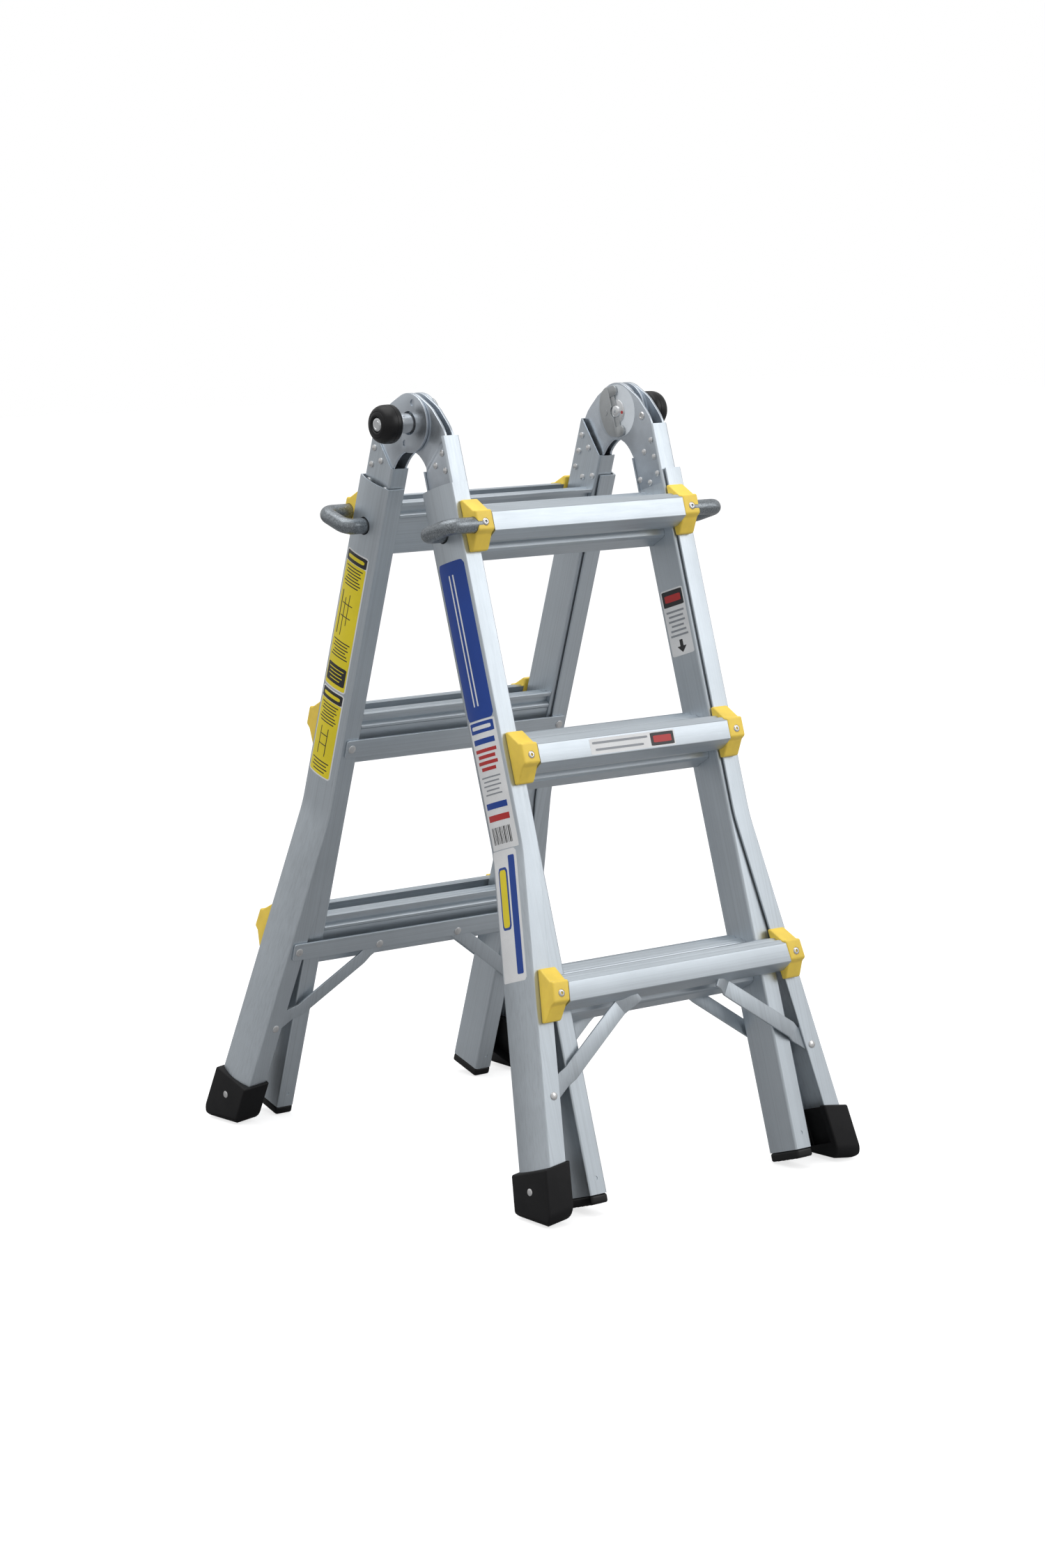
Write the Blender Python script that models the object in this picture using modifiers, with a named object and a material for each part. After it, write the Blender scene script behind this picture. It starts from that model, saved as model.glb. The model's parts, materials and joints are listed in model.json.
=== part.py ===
"""Telescoping multi position ladder, standing as a stepladder.

Each half is drawn in its own rail frame: x across the ladder, n outward from the fold plane
and s down the rail from the hinge axis, all in millimetres. An empty on the hinge axis
leans each half out to the standing angle.
"""

import math

import bmesh
import bpy
from mathutils import Matrix, Vector

MM = 0.001
GAP = 0.3

# Standing pose
LEAN = math.radians(17.25)
HINGE_HEIGHT = 986.82
SOLE_REACH = 988.0

# Inner rails, box tube
TUBE_IN = 164.3
TUBE_OUT = 192.3
TUBE_NEAR = 12.3
TUBE_FAR = 67.4
TUBE_WALL = 2.0
TUBE_BOTTOM = 1024.5
TUBE_TOP_FAR = 34.0
TUBE_TOP_NEAR = 69.0
NOTCH_END = 115.0

# Outer rails, crowned channel that flares below the middle rung
CHANNEL_LIP = 169.4
CHANNEL_EDGE = 196.5
CHANNEL_NEAR = 7.7
CHANNEL_FAR = 72.0
CHANNEL_WALL = 2.4
CROWN = 5.0
CHANNEL_TOP = 96.7
CHANNEL_BOTTOM = 1030.0
FLARE_START = 559.0
FLARE_BEND = 30.0
FLARE_SLOPE = 0.137
MID_N = (CHANNEL_NEAR + CHANNEL_FAR) / 2

# Rungs
FIRST_RUNG = 156.5
RUNG_PITCH = 305.0
RUNG_NAMES = ("top", "middle", "low")
RUNG_END = 163.0
OUTER_RUNG_FACE = 101.0

# Brackets between outer rungs and outer rails
BRACKET_IN = 163.3
BRACKET_OUT = 189.3
BRACKET_BACK = 72.3

# Cross straps and braces on the outer rails
STRAP_LEVELS = (469.5, 773.5)
STRAP_HEIGHT = 25.0
STRAP_NEAR = 4.4
STRAP_FAR = 7.4
BRACE_WIDTH = 22.0
BRACE_THICK = 3.0
BRACE_RIVET = (223.5, 892.0)

# Rubber boots
BOOT_TOP = 980.0
BOOT_IN = 165.0
BOOT_OUT = 206.5
BOOT_NEAR = 3.6
BOOT_FAR = 76.1

# Hinge leaves. The lock leaf has the outermost and innermost plates and carries the knob; the
# plain leaf's plates lie between them. The right hinge is the left one turned half a turn.
DISC_RADIUS = 39.0
LEAF_RIVETS = ((55, 57), (67, 39), (78, 57), (101, 57), (109.5, 39), (101, 20))
LOCK_LEAF = ((166.6, 170.15), (186.15, 190.0))
PLAIN_LEAF = ((170.45, 174.3), (182.0, 185.85))
JOGGLE = 4.15
JOGGLE_START = 61.0
JOGGLE_END = 73.0
JOGGLE_ANGLE = math.radians(30.2)
LOCK_HOLE_S = 28.0
STOP_STUD = (18.8, 48.6)
SLEEVE_RADIUS = 13.0
KNOB_RADIUS = 25.5
KNOB_IN = 215.5
KNOB_OUT = 243.0
LOCK_PIN_RADIUS = 10.5
LOCK_PIN_S = 158.0
LOCK_PIN_N = 91.0


def clear_scene():
    for item in list(bpy.data.objects):
        bpy.data.objects.remove(item, do_unlink=True)
    for mesh in list(bpy.data.meshes):
        bpy.data.meshes.remove(mesh)


def new_collection(name):
    made = bpy.data.collections.new(name)
    bpy.context.scene.collection.children.link(made)
    return made


clear_scene()
PARTS = new_collection("multi_position_ladder")
TOOLS = new_collection("ladder_cutters")
TOOLS.hide_render = True


def material(name, colour, metallic, roughness):
    made = bpy.data.materials.new(name)
    made.use_nodes = True
    shader = made.node_tree.nodes["Principled BSDF"]
    shader.inputs["Base Color"].default_value = (*colour, 1.0)
    shader.inputs["Metallic"].default_value = metallic
    shader.inputs["Roughness"].default_value = roughness
    return made


ALUMINIUM = material("aluminium", (0.72, 0.74, 0.76), 1.0, 0.38)
STEEL = material("zinc_steel", (0.62, 0.64, 0.66), 1.0, 0.34)
CAST = material("cast_grey", (0.30, 0.32, 0.34), 0.9, 0.48)
YELLOW = material("yellow_plastic", (0.86, 0.64, 0.08), 0.0, 0.45)
BLACK = material("black_plastic", (0.02, 0.02, 0.022), 0.0, 0.4)
RUBBER = material("black_rubber", (0.03, 0.03, 0.033), 0.0, 0.7)


def at(x, n, s):
    """Rail frame to the half's own axes, in metres."""
    return Vector((x * MM, -n * MM, -s * MM))


def flare(s):
    """How far the outer rail has moved outward at s."""
    past = max(0.0, s - FLARE_START)
    if past < FLARE_BEND:
        return FLARE_SLOPE * past * past / (2 * FLARE_BEND)
    return FLARE_SLOPE * (past - FLARE_BEND / 2)


def fillet(corners, steps=3):
    """Outline with each (u, v, radius) corner rounded."""
    points = []
    count = len(corners)
    for i, (u, v, radius) in enumerate(corners):
        here = Vector((u, v))
        if radius <= 0:
            points.append((u, v))
            continue
        back = (Vector(corners[i - 1][:2]) - here).normalized()
        ahead = (Vector(corners[(i + 1) % count][:2]) - here).normalized()
        half = back.angle(ahead) / 2
        reach = radius / math.tan(half)
        centre = here + (back + ahead).normalized() * radius / math.sin(half)
        start = here + back * reach - centre
        end = here + ahead * reach - centre
        for k in range(steps + 1):
            turn = start.slerp(end, k / steps) if k not in (0, steps) else (start, end)[k == steps]
            points.append(tuple(centre + turn.normalized() * radius))
    return points


def offset(points, distance):
    """Outline moved outward by a distance, mitred at the corners."""
    count = len(points)
    area = sum(
        a[0] * b[1] - b[0] * a[1] for a, b in zip(points, points[1:] + points[:1])
    )
    sign = 1 if area > 0 else -1
    moved = []
    for i in range(count):
        here = Vector(points[i])
        before = (here - Vector(points[i - 1])).normalized()
        after = (Vector(points[(i + 1) % count]) - here).normalized()
        one = Vector((before.y, -before.x)) * sign
        two = Vector((after.y, -after.x)) * sign
        moved.append(tuple(here + (one + two) * distance / (1 + one.dot(two))))
    return moved


def arc(centre_u, centre_v, radius, first, last, steps):
    """Points on a circle, angles in degrees."""
    angles = [math.radians(first + (last - first) * k / steps) for k in range(steps + 1)]
    return [(centre_u + radius * math.cos(a), centre_v + radius * math.sin(a)) for a in angles]


def place(axis, u, v, w):
    """Outline (u, v) at depth w: axis x takes (n, s), axis s takes (x, n), axis n takes (x, s)."""
    if axis == "x":
        return at(w, u, v)
    if axis == "s":
        return at(u, v, w)
    return at(u, w, v)


def to_object(name, bm, group, parent, look=None):
    bmesh.ops.recalc_face_normals(bm, faces=bm.faces)
    mesh = bpy.data.meshes.new(name)
    bm.to_mesh(mesh)
    bm.free()
    made = bpy.data.objects.new(name, mesh)
    group.objects.link(made)
    made.parent = parent
    if look is not None:
        mesh.materials.append(look)
    if group is TOOLS:
        made.hide_render = True
        made.display_type = "WIRE"
    return made


def skin(bm, rings):
    """Faces between each ring and the next, and a cap on both ends."""
    for a, b in zip(rings, rings[1:]):
        for k in range(len(a)):
            j = (k + 1) % len(a)
            bm.faces.new((a[k], a[j], b[j], b[k]))
    bm.faces.new(rings[0])
    bm.faces.new(rings[-1])


def prism(name, outline, axis, stations, parent, look=None, group=None, side=0, shear=None):
    """Outline pushed through the stations. side=+1 or -1 adds the outer rail's flare."""
    bm = bmesh.new()
    rings = [[bm.verts.new(place(axis, u, v, w)) for u, v in outline] for w in stations]
    skin(bm, rings)
    for vert in bm.verts:
        if side:
            vert.co.x += side * flare(-vert.co.z / MM) * MM
        if shear:
            vert.co = shear(vert.co)
    return to_object(name, bm, group or PARTS, parent, look)


def lathe(name, profile, parent, look=None, group=None, steps=32, n=0.0, s=0.0, phase=0.0):
    """Closed (radius, x) profile turned about an x-parallel line through (n, s)."""
    bm = bmesh.new()
    verts = [bm.verts.new(at(x, r, 0)) for r, x in profile]
    edges = [bm.edges.new((a, b)) for a, b in zip(verts, verts[1:] + verts[:1])]
    bmesh.ops.rotate(bm, verts=verts, cent=(0, 0, 0), matrix=Matrix.Rotation(phase, 3, "X"))
    bmesh.ops.spin(
        bm, geom=verts + edges, cent=(0, 0, 0), axis=(1, 0, 0), angle=2 * math.pi, steps=steps,
        use_merge=True,
    )
    bmesh.ops.remove_doubles(bm, verts=bm.verts, dist=0.00001)
    bmesh.ops.translate(bm, verts=bm.verts, vec=at(0, n, s))
    return to_object(name, bm, group or PARTS, parent, look)


def rod(name, x0, x1, radius, parent, n, s, steps=16, group=None):
    """Plain cylinder along x."""
    outline = arc(n, s, radius, 0, 360 - 360 / steps, steps - 1)
    return prism(name, outline, "x", (x0, x1), parent, group=group or TOOLS)


def pin(name, centre_u, centre_v, radius, axis, w0, w1, parent, steps=16):
    """Plain cylinder along any frame axis, as a tool."""
    outline = arc(centre_u, centre_v, radius, 0, 360 - 360 / steps, steps - 1)
    return prism(name, outline, axis, (w0, w1), parent, group=TOOLS)


def combine(target, tools, operation):
    for tool in tools:
        step = target.modifiers.new(operation.lower() + "_" + tool.name, "BOOLEAN")
        step.operation = operation
        step.solver = "EXACT"
        step.object = tool
    return target


def bevel(target, width, segments=2, angle=40):
    step = target.modifiers.new("edge", "BEVEL")
    step.width = width * MM
    step.segments = segments
    step.limit_method = "ANGLE"
    step.angle_limit = math.radians(angle)
    return target


def smooth(target, angle=35):
    target.data.shade_smooth()
    target.data.set_sharp_from_angle(angle=math.radians(angle))
    return target


def half_empty(name, heading):
    """Empty on the hinge axis; heading turns the back half round to face the other way."""
    made = bpy.data.objects.new(name, None)
    PARTS.objects.link(made)
    made.location = (0, 0, HINGE_HEIGHT * MM)
    made.rotation_euler = (-LEAN, 0, heading)
    return made


def box_outline(u0, u1, v0, v1, radius, steps=3):
    return fillet([(u0, v0, radius), (u1, v0, radius), (u1, v1, radius), (u0, v1, radius)], steps)


def mirrored(points, side):
    """Outline whose first coordinate is |x|, for the right (+1) or left (-1) side."""
    return [(side * u, v) for u, v in points]


# --- inner ladder ---------------------------------------------------------------------------


def inner_rail(name, side, parent, lock_side):
    """Box tube; one web is cut away at the top so that the leaf's tail shows."""
    outer = mirrored(box_outline(TUBE_IN, TUBE_OUT, TUBE_NEAR, TUBE_FAR, 3.0), side)
    rail = prism(name, outer, "s", (28, TUBE_BOTTOM), parent, ALUMINIUM)
    bore = box_outline(
        TUBE_IN + TUBE_WALL, TUBE_OUT - TUBE_WALL, TUBE_NEAR + TUBE_WALL, TUBE_FAR - TUBE_WALL, 1.0, 1
    )
    tools = [prism(name + "_bore", mirrored(bore, side), "s", (20, 1040), parent, group=TOOLS)]
    slant = [
        (TUBE_FAR + 5, 0), (TUBE_FAR + 5, TUBE_TOP_FAR), (TUBE_FAR - 4, TUBE_TOP_FAR),
        (TUBE_NEAR + 4, TUBE_TOP_NEAR), (TUBE_NEAR - 5, TUBE_TOP_NEAR), (TUBE_NEAR - 5, 0),
    ]
    width = (side * (TUBE_IN - 5), side * (TUBE_OUT + 5))
    tools.append(prism(name + "_slant", slant, "x", width, parent, group=TOOLS))
    window = [
        (TUBE_NEAR + 3.2, 0), (TUBE_FAR - 3.2, 0), (TUBE_FAR - 3.2, NOTCH_END),
        (TUBE_NEAR + 3.2, NOTCH_END),
    ]
    inner_web = (side * (TUBE_IN - 5), side * (TUBE_IN + 5))
    outer_web = (side * (TUBE_OUT - 5), side * (TUBE_OUT + 5))
    open_web, rivet_web = (inner_web, outer_web) if lock_side else (outer_web, inner_web)
    tools.append(prism(name + "_window", window, "x", open_web, parent, group=TOOLS))
    for k, (s, n) in enumerate(LEAF_RIVETS):
        tools.append(rod(f"{name}_hole_{k}", *rivet_web, 2.9, parent, n, s, 8))
    for k in range(3):
        level = LOCK_PIN_S + k * RUNG_PITCH
        reach = (side * (TUBE_OUT - 6), side * (TUBE_OUT + 5))
        tools.append(rod(f"{name}_lock_hole_{k}", *reach, 11.3, parent, MID_N, level, 16))
    return smooth(combine(rail, tools, "DIFFERENCE"))


INNER_RUNG = [
    (14.0, -38.5, 1.0), (17.5, -39.2, 1.0), (19.0, -37.4, 0), (24.5, -35.4, 0), (26.0, -36.4, 0),
    (30.0, -34.9, 0), (31.0, -33.0, 0), (36.5, -31.0, 0), (38.0, -32.0, 0), (42.0, -30.5, 0),
    (43.0, -28.6, 0), (49.0, -26.4, 1.5), (50.0, -22.0, 0), (50.0, 27.0, 2.0), (46.5, 30.0, 0),
    (20.0, 36.5, 2.0), (16.0, 33.0, 1.0), (16.0, -15.0, 0), (14.0, -17.0, 1.0),
    (14.0, -20.5, 1.0), (17.0, -22.5, 0), (21.5, -24.0, 0), (21.5, -31.0, 0), (14.5, -33.0, 1.0),
]
INNER_RUNG_BORE = [
    (24.0, -31.5), (47.8, -23.0), (47.8, 27.5), (20.8, 34.0), (18.0, 31.5), (18.0, -16.0),
    (24.0, -20.0),
]
OUTER_RUNG = [
    (72.3, -24.0, 0), (78.0, -21.6, 0), (79.5, -22.6, 0), (83.5, -21.0, 0), (84.5, -19.0, 0),
    (88.0, -17.6, 0), (89.5, -18.5, 0), (93.5, -16.9, 0), (94.5, -15.0, 0),
    (OUTER_RUNG_FACE, -12.4, 1.2), (OUTER_RUNG_FACE, 12.5, 1.5), (81.0, 21.8, 2.0),
    (72.3, 22.5, 0),
]
OUTER_RUNG_BORE = [
    (74.5, -20.5), (99.0, -10.9), (99.0, 11.2), (80.4, 19.8), (74.5, 20.3),
]


def raised(outline, level):
    return [(point[0], point[1] + level, *point[2:]) for point in outline]


def inner_rung(name, level, parent):
    end = TUBE_IN - GAP
    rung = prism(name, fillet(raised(INNER_RUNG, level), 2), "x", (-end, end), parent, ALUMINIUM)
    bore = prism(
        name + "_bore", raised(INNER_RUNG_BORE, level), "x", (-170, 170), parent, group=TOOLS
    )
    return smooth(combine(rung, [bore], "DIFFERENCE"))


def end_cap(name, side, parent):
    outline = mirrored(box_outline(TUBE_IN, TUBE_OUT, TUBE_NEAR, TUBE_FAR, 4.0, 2), side)
    foot = prism(name, outline, "s", (TUBE_BOTTOM + GAP, 1036.5), parent, BLACK)
    bevel(foot, 3.0, 2, 50)
    inset = TUBE_WALL + GAP
    plug = box_outline(TUBE_IN + inset, TUBE_OUT - inset, TUBE_NEAR + inset, TUBE_FAR - inset, 1.2, 1)
    stem = prism(name + "_plug", mirrored(plug, side), "s", (1005, 1028), parent, group=TOOLS)
    return smooth(combine(foot, [stem], "UNION"))


def leaf_outline():
    """Round head with a tail; the near side is scooped so the folded halves leave a finger arch."""
    shoulder = [(64.7, 31), (62.5, 22), (59, 14), (54, 4.5), (49, -5), (43, -12.5), (36, -19.5)]
    head = arc(0, 0, DISC_RADIUS, -45, -265, 16)
    scoop = [(3.0, 44.5), (7.0, 50.0), (10.5, 56.5), (12.5, 62.0), (15.0, 69.0)]
    return shoulder + head + scoop + [(15.0, 126.0), (64.7, 126.0)]


def leaf_plate(name, low, high, side, parent, joggle, group):
    """One hinge plate; a joggled tail steps outward across a bend parallel to the tube's cut."""
    plate = prism(name, leaf_outline(), "x", (side * low, side * high), parent, STEEL, group)
    if joggle:
        tail = Vector((0, -math.sin(JOGGLE_ANGLE), -math.cos(JOGGLE_ANGLE)))
        bm = bmesh.new()
        bm.from_mesh(plate.data)
        for reach in (JOGGLE_START, JOGGLE_END):
            everything = list(bm.verts) + list(bm.edges) + list(bm.faces)
            bmesh.ops.bisect_plane(
                bm, geom=everything, dist=0.00001, plane_co=tail * reach * MM, plane_no=tail
            )
        for vert in bm.verts:
            past = (vert.co.dot(tail) / MM - JOGGLE_START) / (JOGGLE_END - JOGGLE_START)
            vert.co.x += side * JOGGLE * MM * min(1.0, max(0.0, past))
        bm.to_mesh(plate.data)
        bm.free()
    return bevel(plate, 0.7, 1, 50)


def leaf(name, side, parent, lock_side):
    """Two plates joined by their six rivets, which also hold the tube's uncut web."""
    plates = LOCK_LEAF if lock_side else PLAIN_LEAF
    first = leaf_plate(name, *plates[0], side, parent, False, PARTS)
    second = leaf_plate(name + "_outside", *plates[1], side, parent, not lock_side, TOOLS)
    if lock_side:
        low, high = plates[0][0] + 0.1, TUBE_OUT + GAP
    else:
        low, high = TUBE_IN - GAP, plates[1][1] + JOGGLE - 0.1
    tools = [second]
    for k, (s, n) in enumerate(LEAF_RIVETS):
        profile = [
            (0, low - 2.0), (3.2, low - 1.5), (4.3, low), (2.5, low), (2.5, high), (4.3, high),
            (3.2, high + 1.5), (0, high + 2.0),
        ]
        profile = [(r, side * x) for r, x in profile]
        label = f"{name}_rivet_{k}"
        tools.append(lathe(label, profile, parent, None, TOOLS, 8, n, s, math.pi / 8))
    if lock_side:
        s, n = STOP_STUD
        face = plates[0][0]
        stud = [
            (0, face + 2), (5.4, face + 2), (5.4, face - 0.7), (4.4, face - 1.5), (2.4, face - 1.5),
            (2.4, face - 0.4), (0, face - 0.4),
        ]
        stud = [(r, side * x) for r, x in stud]
        tools.append(lathe(name + "_stud", stud, parent, None, TOOLS, 12, n, s))
    combine(first, tools, "UNION")
    cuts = []
    if lock_side:
        outer_face = plates[1][1]
        cuts.append(rod(name + "_bore", side * 160, side * 180, SLEEVE_RADIUS + GAP, parent, 0, 0, 20))
        cuts.append(rod(name + "_mouth", side * 180, side * 196, 15.5, parent, 0, 0, 20))
        for k, s in enumerate((-LOCK_HOLE_S, LOCK_HOLE_S)):
            sink = (side * (outer_face - 1.5), side * (outer_face + 1))
            cuts.append(rod(f"{name}_socket_{k}", *sink, 4.4, parent, 0, s, 12))
            cuts.append(rod(f"{name}_clear_{k}", side * 160, side * 176, 4.8, parent, 0, s, 12))
    else:
        cuts.append(rod(name + "_bore", side * 160, side * 196, 15.5, parent, 0, 0, 20))
    return smooth(combine(first, cuts, "DIFFERENCE"))


def lock_knob(name, side, parent):
    profile = [
        (6.6, KNOB_IN), (21.0, KNOB_IN), (24.0, KNOB_IN + 1.2), (25.5, KNOB_IN + 5.0),
        (25.4, KNOB_IN + 14.0), (23.6, KNOB_IN + 20.5), (20.0, KNOB_IN + 24.8),
        (14.0, KNOB_OUT), (9.6, KNOB_OUT), (9.0, KNOB_OUT - 4.5), (6.6, KNOB_OUT - 4.5),
    ]
    return smooth(lathe(name, [(r, side * x) for r, x in profile], parent, BLACK, steps=24), 45)


YOKE_PLATE = [
    (-4.3, -35.4), (-8, -35.8), (-12, -35), (-17, -32.5), (-20.7, -29.6), (-23.6, -25.4),
    (-26.2, -19.8), (-29, -10), (-29.7, 0), (-28.6, 8.5), (-26.4, 16.5), (-24, 22),
    (-20.8, 27.5), (-14.5, 31.5), (-8.5, 33.8), (-4.3, 34.6),
]


def lock_yoke(name, side, parent):
    """Sleeve through the leaves, flange, D plate, cross bar with two ears and their lock pins."""
    shaft = [
        (0, 163.2), (7.4, 163.2), (8.0, 163.8), (8.0, 165.2), (15.8, 165.2), (16.5, 165.8),
        (16.5, 166.3), (SLEEVE_RADIUS, 166.3), (SLEEVE_RADIUS, KNOB_IN - GAP), (6.3, KNOB_IN - GAP),
        (6.3, KNOB_OUT - 2.4), (4.9, KNOB_OUT - 1.4), (0, KNOB_OUT - 1.4),
    ]
    body = lathe(name, [(r, side * x) for r, x in shaft], parent, CAST, steps=20)
    bar = box_outline(-9.0, 3.4, -33, 33, 1.5, 1)
    tools = [
        prism(name + "_web", YOKE_PLATE, "x", (side * 161.8, side * 164.4), parent, group=TOOLS),
        prism(name + "_bar", bar, "x", (side * 163.9, side * 166.3), parent, group=TOOLS),
        rod(name + "_dimple", side * 161.3, side * 162.5, 4.0, parent, -18.0, -3.0, 12),
    ]
    for k, s in enumerate((-LOCK_HOLE_S, LOCK_HOLE_S)):
        ear = fillet([(-5, s - 7, 0), (11, s - 7, 6.5), (11, s + 7, 6.5), (-5, s + 7, 0)], 3)
        tools.append(prism(f"{name}_ear_{k}", ear, "x", (side * 162.6, side * 166.3), parent, group=TOOLS))
        tools.append(rod(f"{name}_pin_{k}", side * 164, side * 170.0, 4.4, parent, 0, s, 12))
    combine(body, tools, "UNION")
    eye = rod(name + "_eye", side * 160, side * 167, 2.1, parent, 0, 0, 10)
    return smooth(combine(body, [eye], "DIFFERENCE"))


# --- outer ladder ---------------------------------------------------------------------------


def channel_outline():
    """Crowned web with a lip on each side, wall CHANNEL_WALL thick."""
    half = (CHANNEL_FAR - CHANNEL_NEAR) / 2
    inner = []
    outer = []
    for k in range(7):
        t = -1 + k / 3
        rise = CROWN * (1 - t * t)
        outer.append((CHANNEL_EDGE + rise, MID_N + t * (half - 2.5)))
        inner.append((CHANNEL_EDGE + rise - CHANNEL_WALL, MID_N + t * (half - CHANNEL_WALL - 1.0)))
    edge = CHANNEL_EDGE
    near_corner = [(edge - 1.6, CHANNEL_NEAR + 0.2)]
    far_corner = [(edge - 1.6, CHANNEL_FAR - 0.2)]
    outside = [(CHANNEL_LIP, CHANNEL_NEAR)] + near_corner + outer + far_corner
    inside = [(CHANNEL_LIP, CHANNEL_NEAR + CHANNEL_WALL)]
    inside += [(edge - CHANNEL_WALL - 0.8, CHANNEL_NEAR + CHANNEL_WALL)] + inner
    inside += [(edge - CHANNEL_WALL - 0.8, CHANNEL_FAR - CHANNEL_WALL)]
    inside += [(CHANNEL_LIP, CHANNEL_FAR - CHANNEL_WALL)]
    return outside + [(CHANNEL_LIP, CHANNEL_FAR)] + inside[::-1]


def outer_rail(name, side, parent):
    bend = [FLARE_START + FLARE_BEND * k / 3 for k in range(4)]
    stations = [CHANNEL_TOP] + bend + [CHANNEL_BOTTOM]
    outline = mirrored(channel_outline(), side)
    rail = prism(name, outline, "s", stations, parent, ALUMINIUM, side=side)
    reach = (side * 190, side * 210)
    tools = [rod(name + "_lock_hole", *reach, 12.0, parent, MID_N, LOCK_PIN_S, 24)]
    x, s = BRACE_RIVET
    tools.append(
        pin(name + "_brace_holes", side * x, s, 3.3, "n", CHANNEL_NEAR - 4, CHANNEL_FAR + 4, parent, 12)
    )
    return smooth(combine(rail, tools, "DIFFERENCE"))


def outer_rung(name, index, parent):
    level = FIRST_RUNG + index * RUNG_PITCH
    outline = fillet(raised(OUTER_RUNG, level), 2)
    bore = raised(OUTER_RUNG_BORE, level)

    def spread(co):
        way = 1 if co.x > 0 else -1
        return co + Vector((way * flare(-co.z / MM) * MM, 0, 0))

    rung = prism(name, outline, "x", (-RUNG_END, RUNG_END), parent, ALUMINIUM, shear=spread)
    hollow = prism(name + "_bore", bore, "x", (-200, 200), parent, group=TOOLS)
    combine(rung, [hollow], "DIFFERENCE")
    if index == 2:
        combine(rung, [outer_brace(f"{name}_brace_{side}", side, parent) for side in (-1, 1)], "UNION")
        rivets = [brace_rivet(f"{name}_rivet_{side}", side, parent, True) for side in (-1, 1)]
        combine(rung, rivets, "UNION")
    return smooth(rung)


def ribbon(name, path, side, parent, width, thick):
    """Flat bar through (x, s, n) points, faces square to n."""
    first = Vector(path[0][:2])
    last = Vector(path[-1][:2])
    along = (last - first).normalized()
    across = Vector((-along.y, along.x)) * width / 2
    bm = bmesh.new()
    rows = []
    for x, s, n in path:
        ends = ((x + across.x, s + across.y), (x - across.x, s - across.y))
        rows.append([bm.verts.new(at(side * u, n, v)) for u, v in ends])
    for a, b in zip(rows, rows[1:]):
        bm.faces.new((a[0], a[1], b[1], b[0]))
    made = to_object(name, bm, TOOLS, parent)
    step = made.modifiers.new("thickness", "SOLIDIFY")
    step.thickness = thick * MM
    step.offset = 0
    return made


def outer_brace(name, side, parent):
    x, s = BRACE_RIVET
    path = [
        (70.0, 783.5, 88.0), (78.0, 788.0, 86.0), (92.0, 797.5, 74.6), (104.0, 806.0, 73.9),
        (190.5, 867.4, 73.9), (200.3, 874.3, 67.8), (x + 4, s + 1.5, 67.7),
    ]
    return ribbon(name, path, side, parent, BRACE_WIDTH, BRACE_THICK)


def inner_brace(name, side, parent):
    x, s = BRACE_RIVET
    path = [
        (62.0, 776.0, 9.0), (84.0, 791.0, 9.0), (96.0, 799.5, 5.9), (188.0, 865.7, 5.9),
        (200.0, 874.1, 11.9), (x + 4, s + 1.5, 12.0),
    ]
    return ribbon(name, path, side, parent, BRACE_WIDTH - 2, BRACE_THICK)


def brace_rivet(name, side, parent, front):
    """Rivet through the rail lip into the end of a brace."""
    x, s = BRACE_RIVET
    if front:
        return pin(name, side * x, s, 3.0, "n", 67.0, CHANNEL_FAR + 1.8, parent, 12)
    return pin(name, side * x, s, 3.0, "n", CHANNEL_NEAR - 1.8, 12.4, parent, 12)


def strap(name, index, parent):
    level = STRAP_LEVELS[index]
    end = 190.5 + flare(level)
    low = level - STRAP_HEIGHT / 2
    high = level + STRAP_HEIGHT / 2
    outline = fillet([(-end, low, 3), (end, low, 3), (end, high, 3), (-end, high, 3)], 2)
    bar = prism(name, outline, "n", (STRAP_NEAR, STRAP_FAR), parent, ALUMINIUM)
    tools = []
    for side in (-1, 1):
        x = side * (end - 9.0)
        tools.append(pin(f"{name}_end_rivet_{side}", x, level, 4.2, "n", 3.0, 5.0, parent, 12))
        if index == 1:
            tools.append(inner_brace(f"{name}_brace_{side}", side, parent))
            tools.append(brace_rivet(f"{name}_leg_rivet_{side}", side, parent, False))
            tools.append(pin(f"{name}_top_rivet_{side}", side * 69.5, 780, 4.2, "n", 3.0, 9.0, parent, 12))
    return smooth(combine(bar, tools, "UNION"))


def bracket(name, side, index, parent):
    level = FIRST_RUNG + index * RUNG_PITCH
    back = BRACKET_BACK
    face = OUTER_RUNG_FACE + 0.6
    outline = fillet(
        raised(
            [
                (back, -35.0, 0), (77.5, -35.0, 3.0), (95.5, -16.8, 2.0), (face, -15.5, 2.0),
                (face, 10.5, 3.0), (94.0, 14.5, 3.0), (80.0, 33.5, 4.0), (back, 33.5, 0),
            ],
            level,
        ),
        1,
    )
    stations = (side * BRACKET_IN, side * BRACKET_OUT)
    block = prism(name, outline, "x", stations, parent, YELLOW, side=side)
    bevel(block, 1.2, 1, 50)
    tools = []
    if index == 0:
        tools.append(rod(name + "_well", side * 174.0, side * 195, 10.9, parent, LOCK_PIN_N, LOCK_PIN_S, 18))
        tools.append(rod(name + "_guide", side * 160, side * 176, 6.4, parent, LOCK_PIN_N, LOCK_PIN_S, 12))
    x = side * (176.3 + flare(level))
    sink = pin(name + "_rivet_eye", x, level, 1.7, "n", face - 2.0, face + 4.0, parent, 8)
    combine(block, [pin(name + "_rivet", x, level, 4.4, "n", face - 1, face + 1.6, parent, 12)], "UNION")
    return smooth(combine(block, tools + [sink], "DIFFERENCE"))


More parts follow.
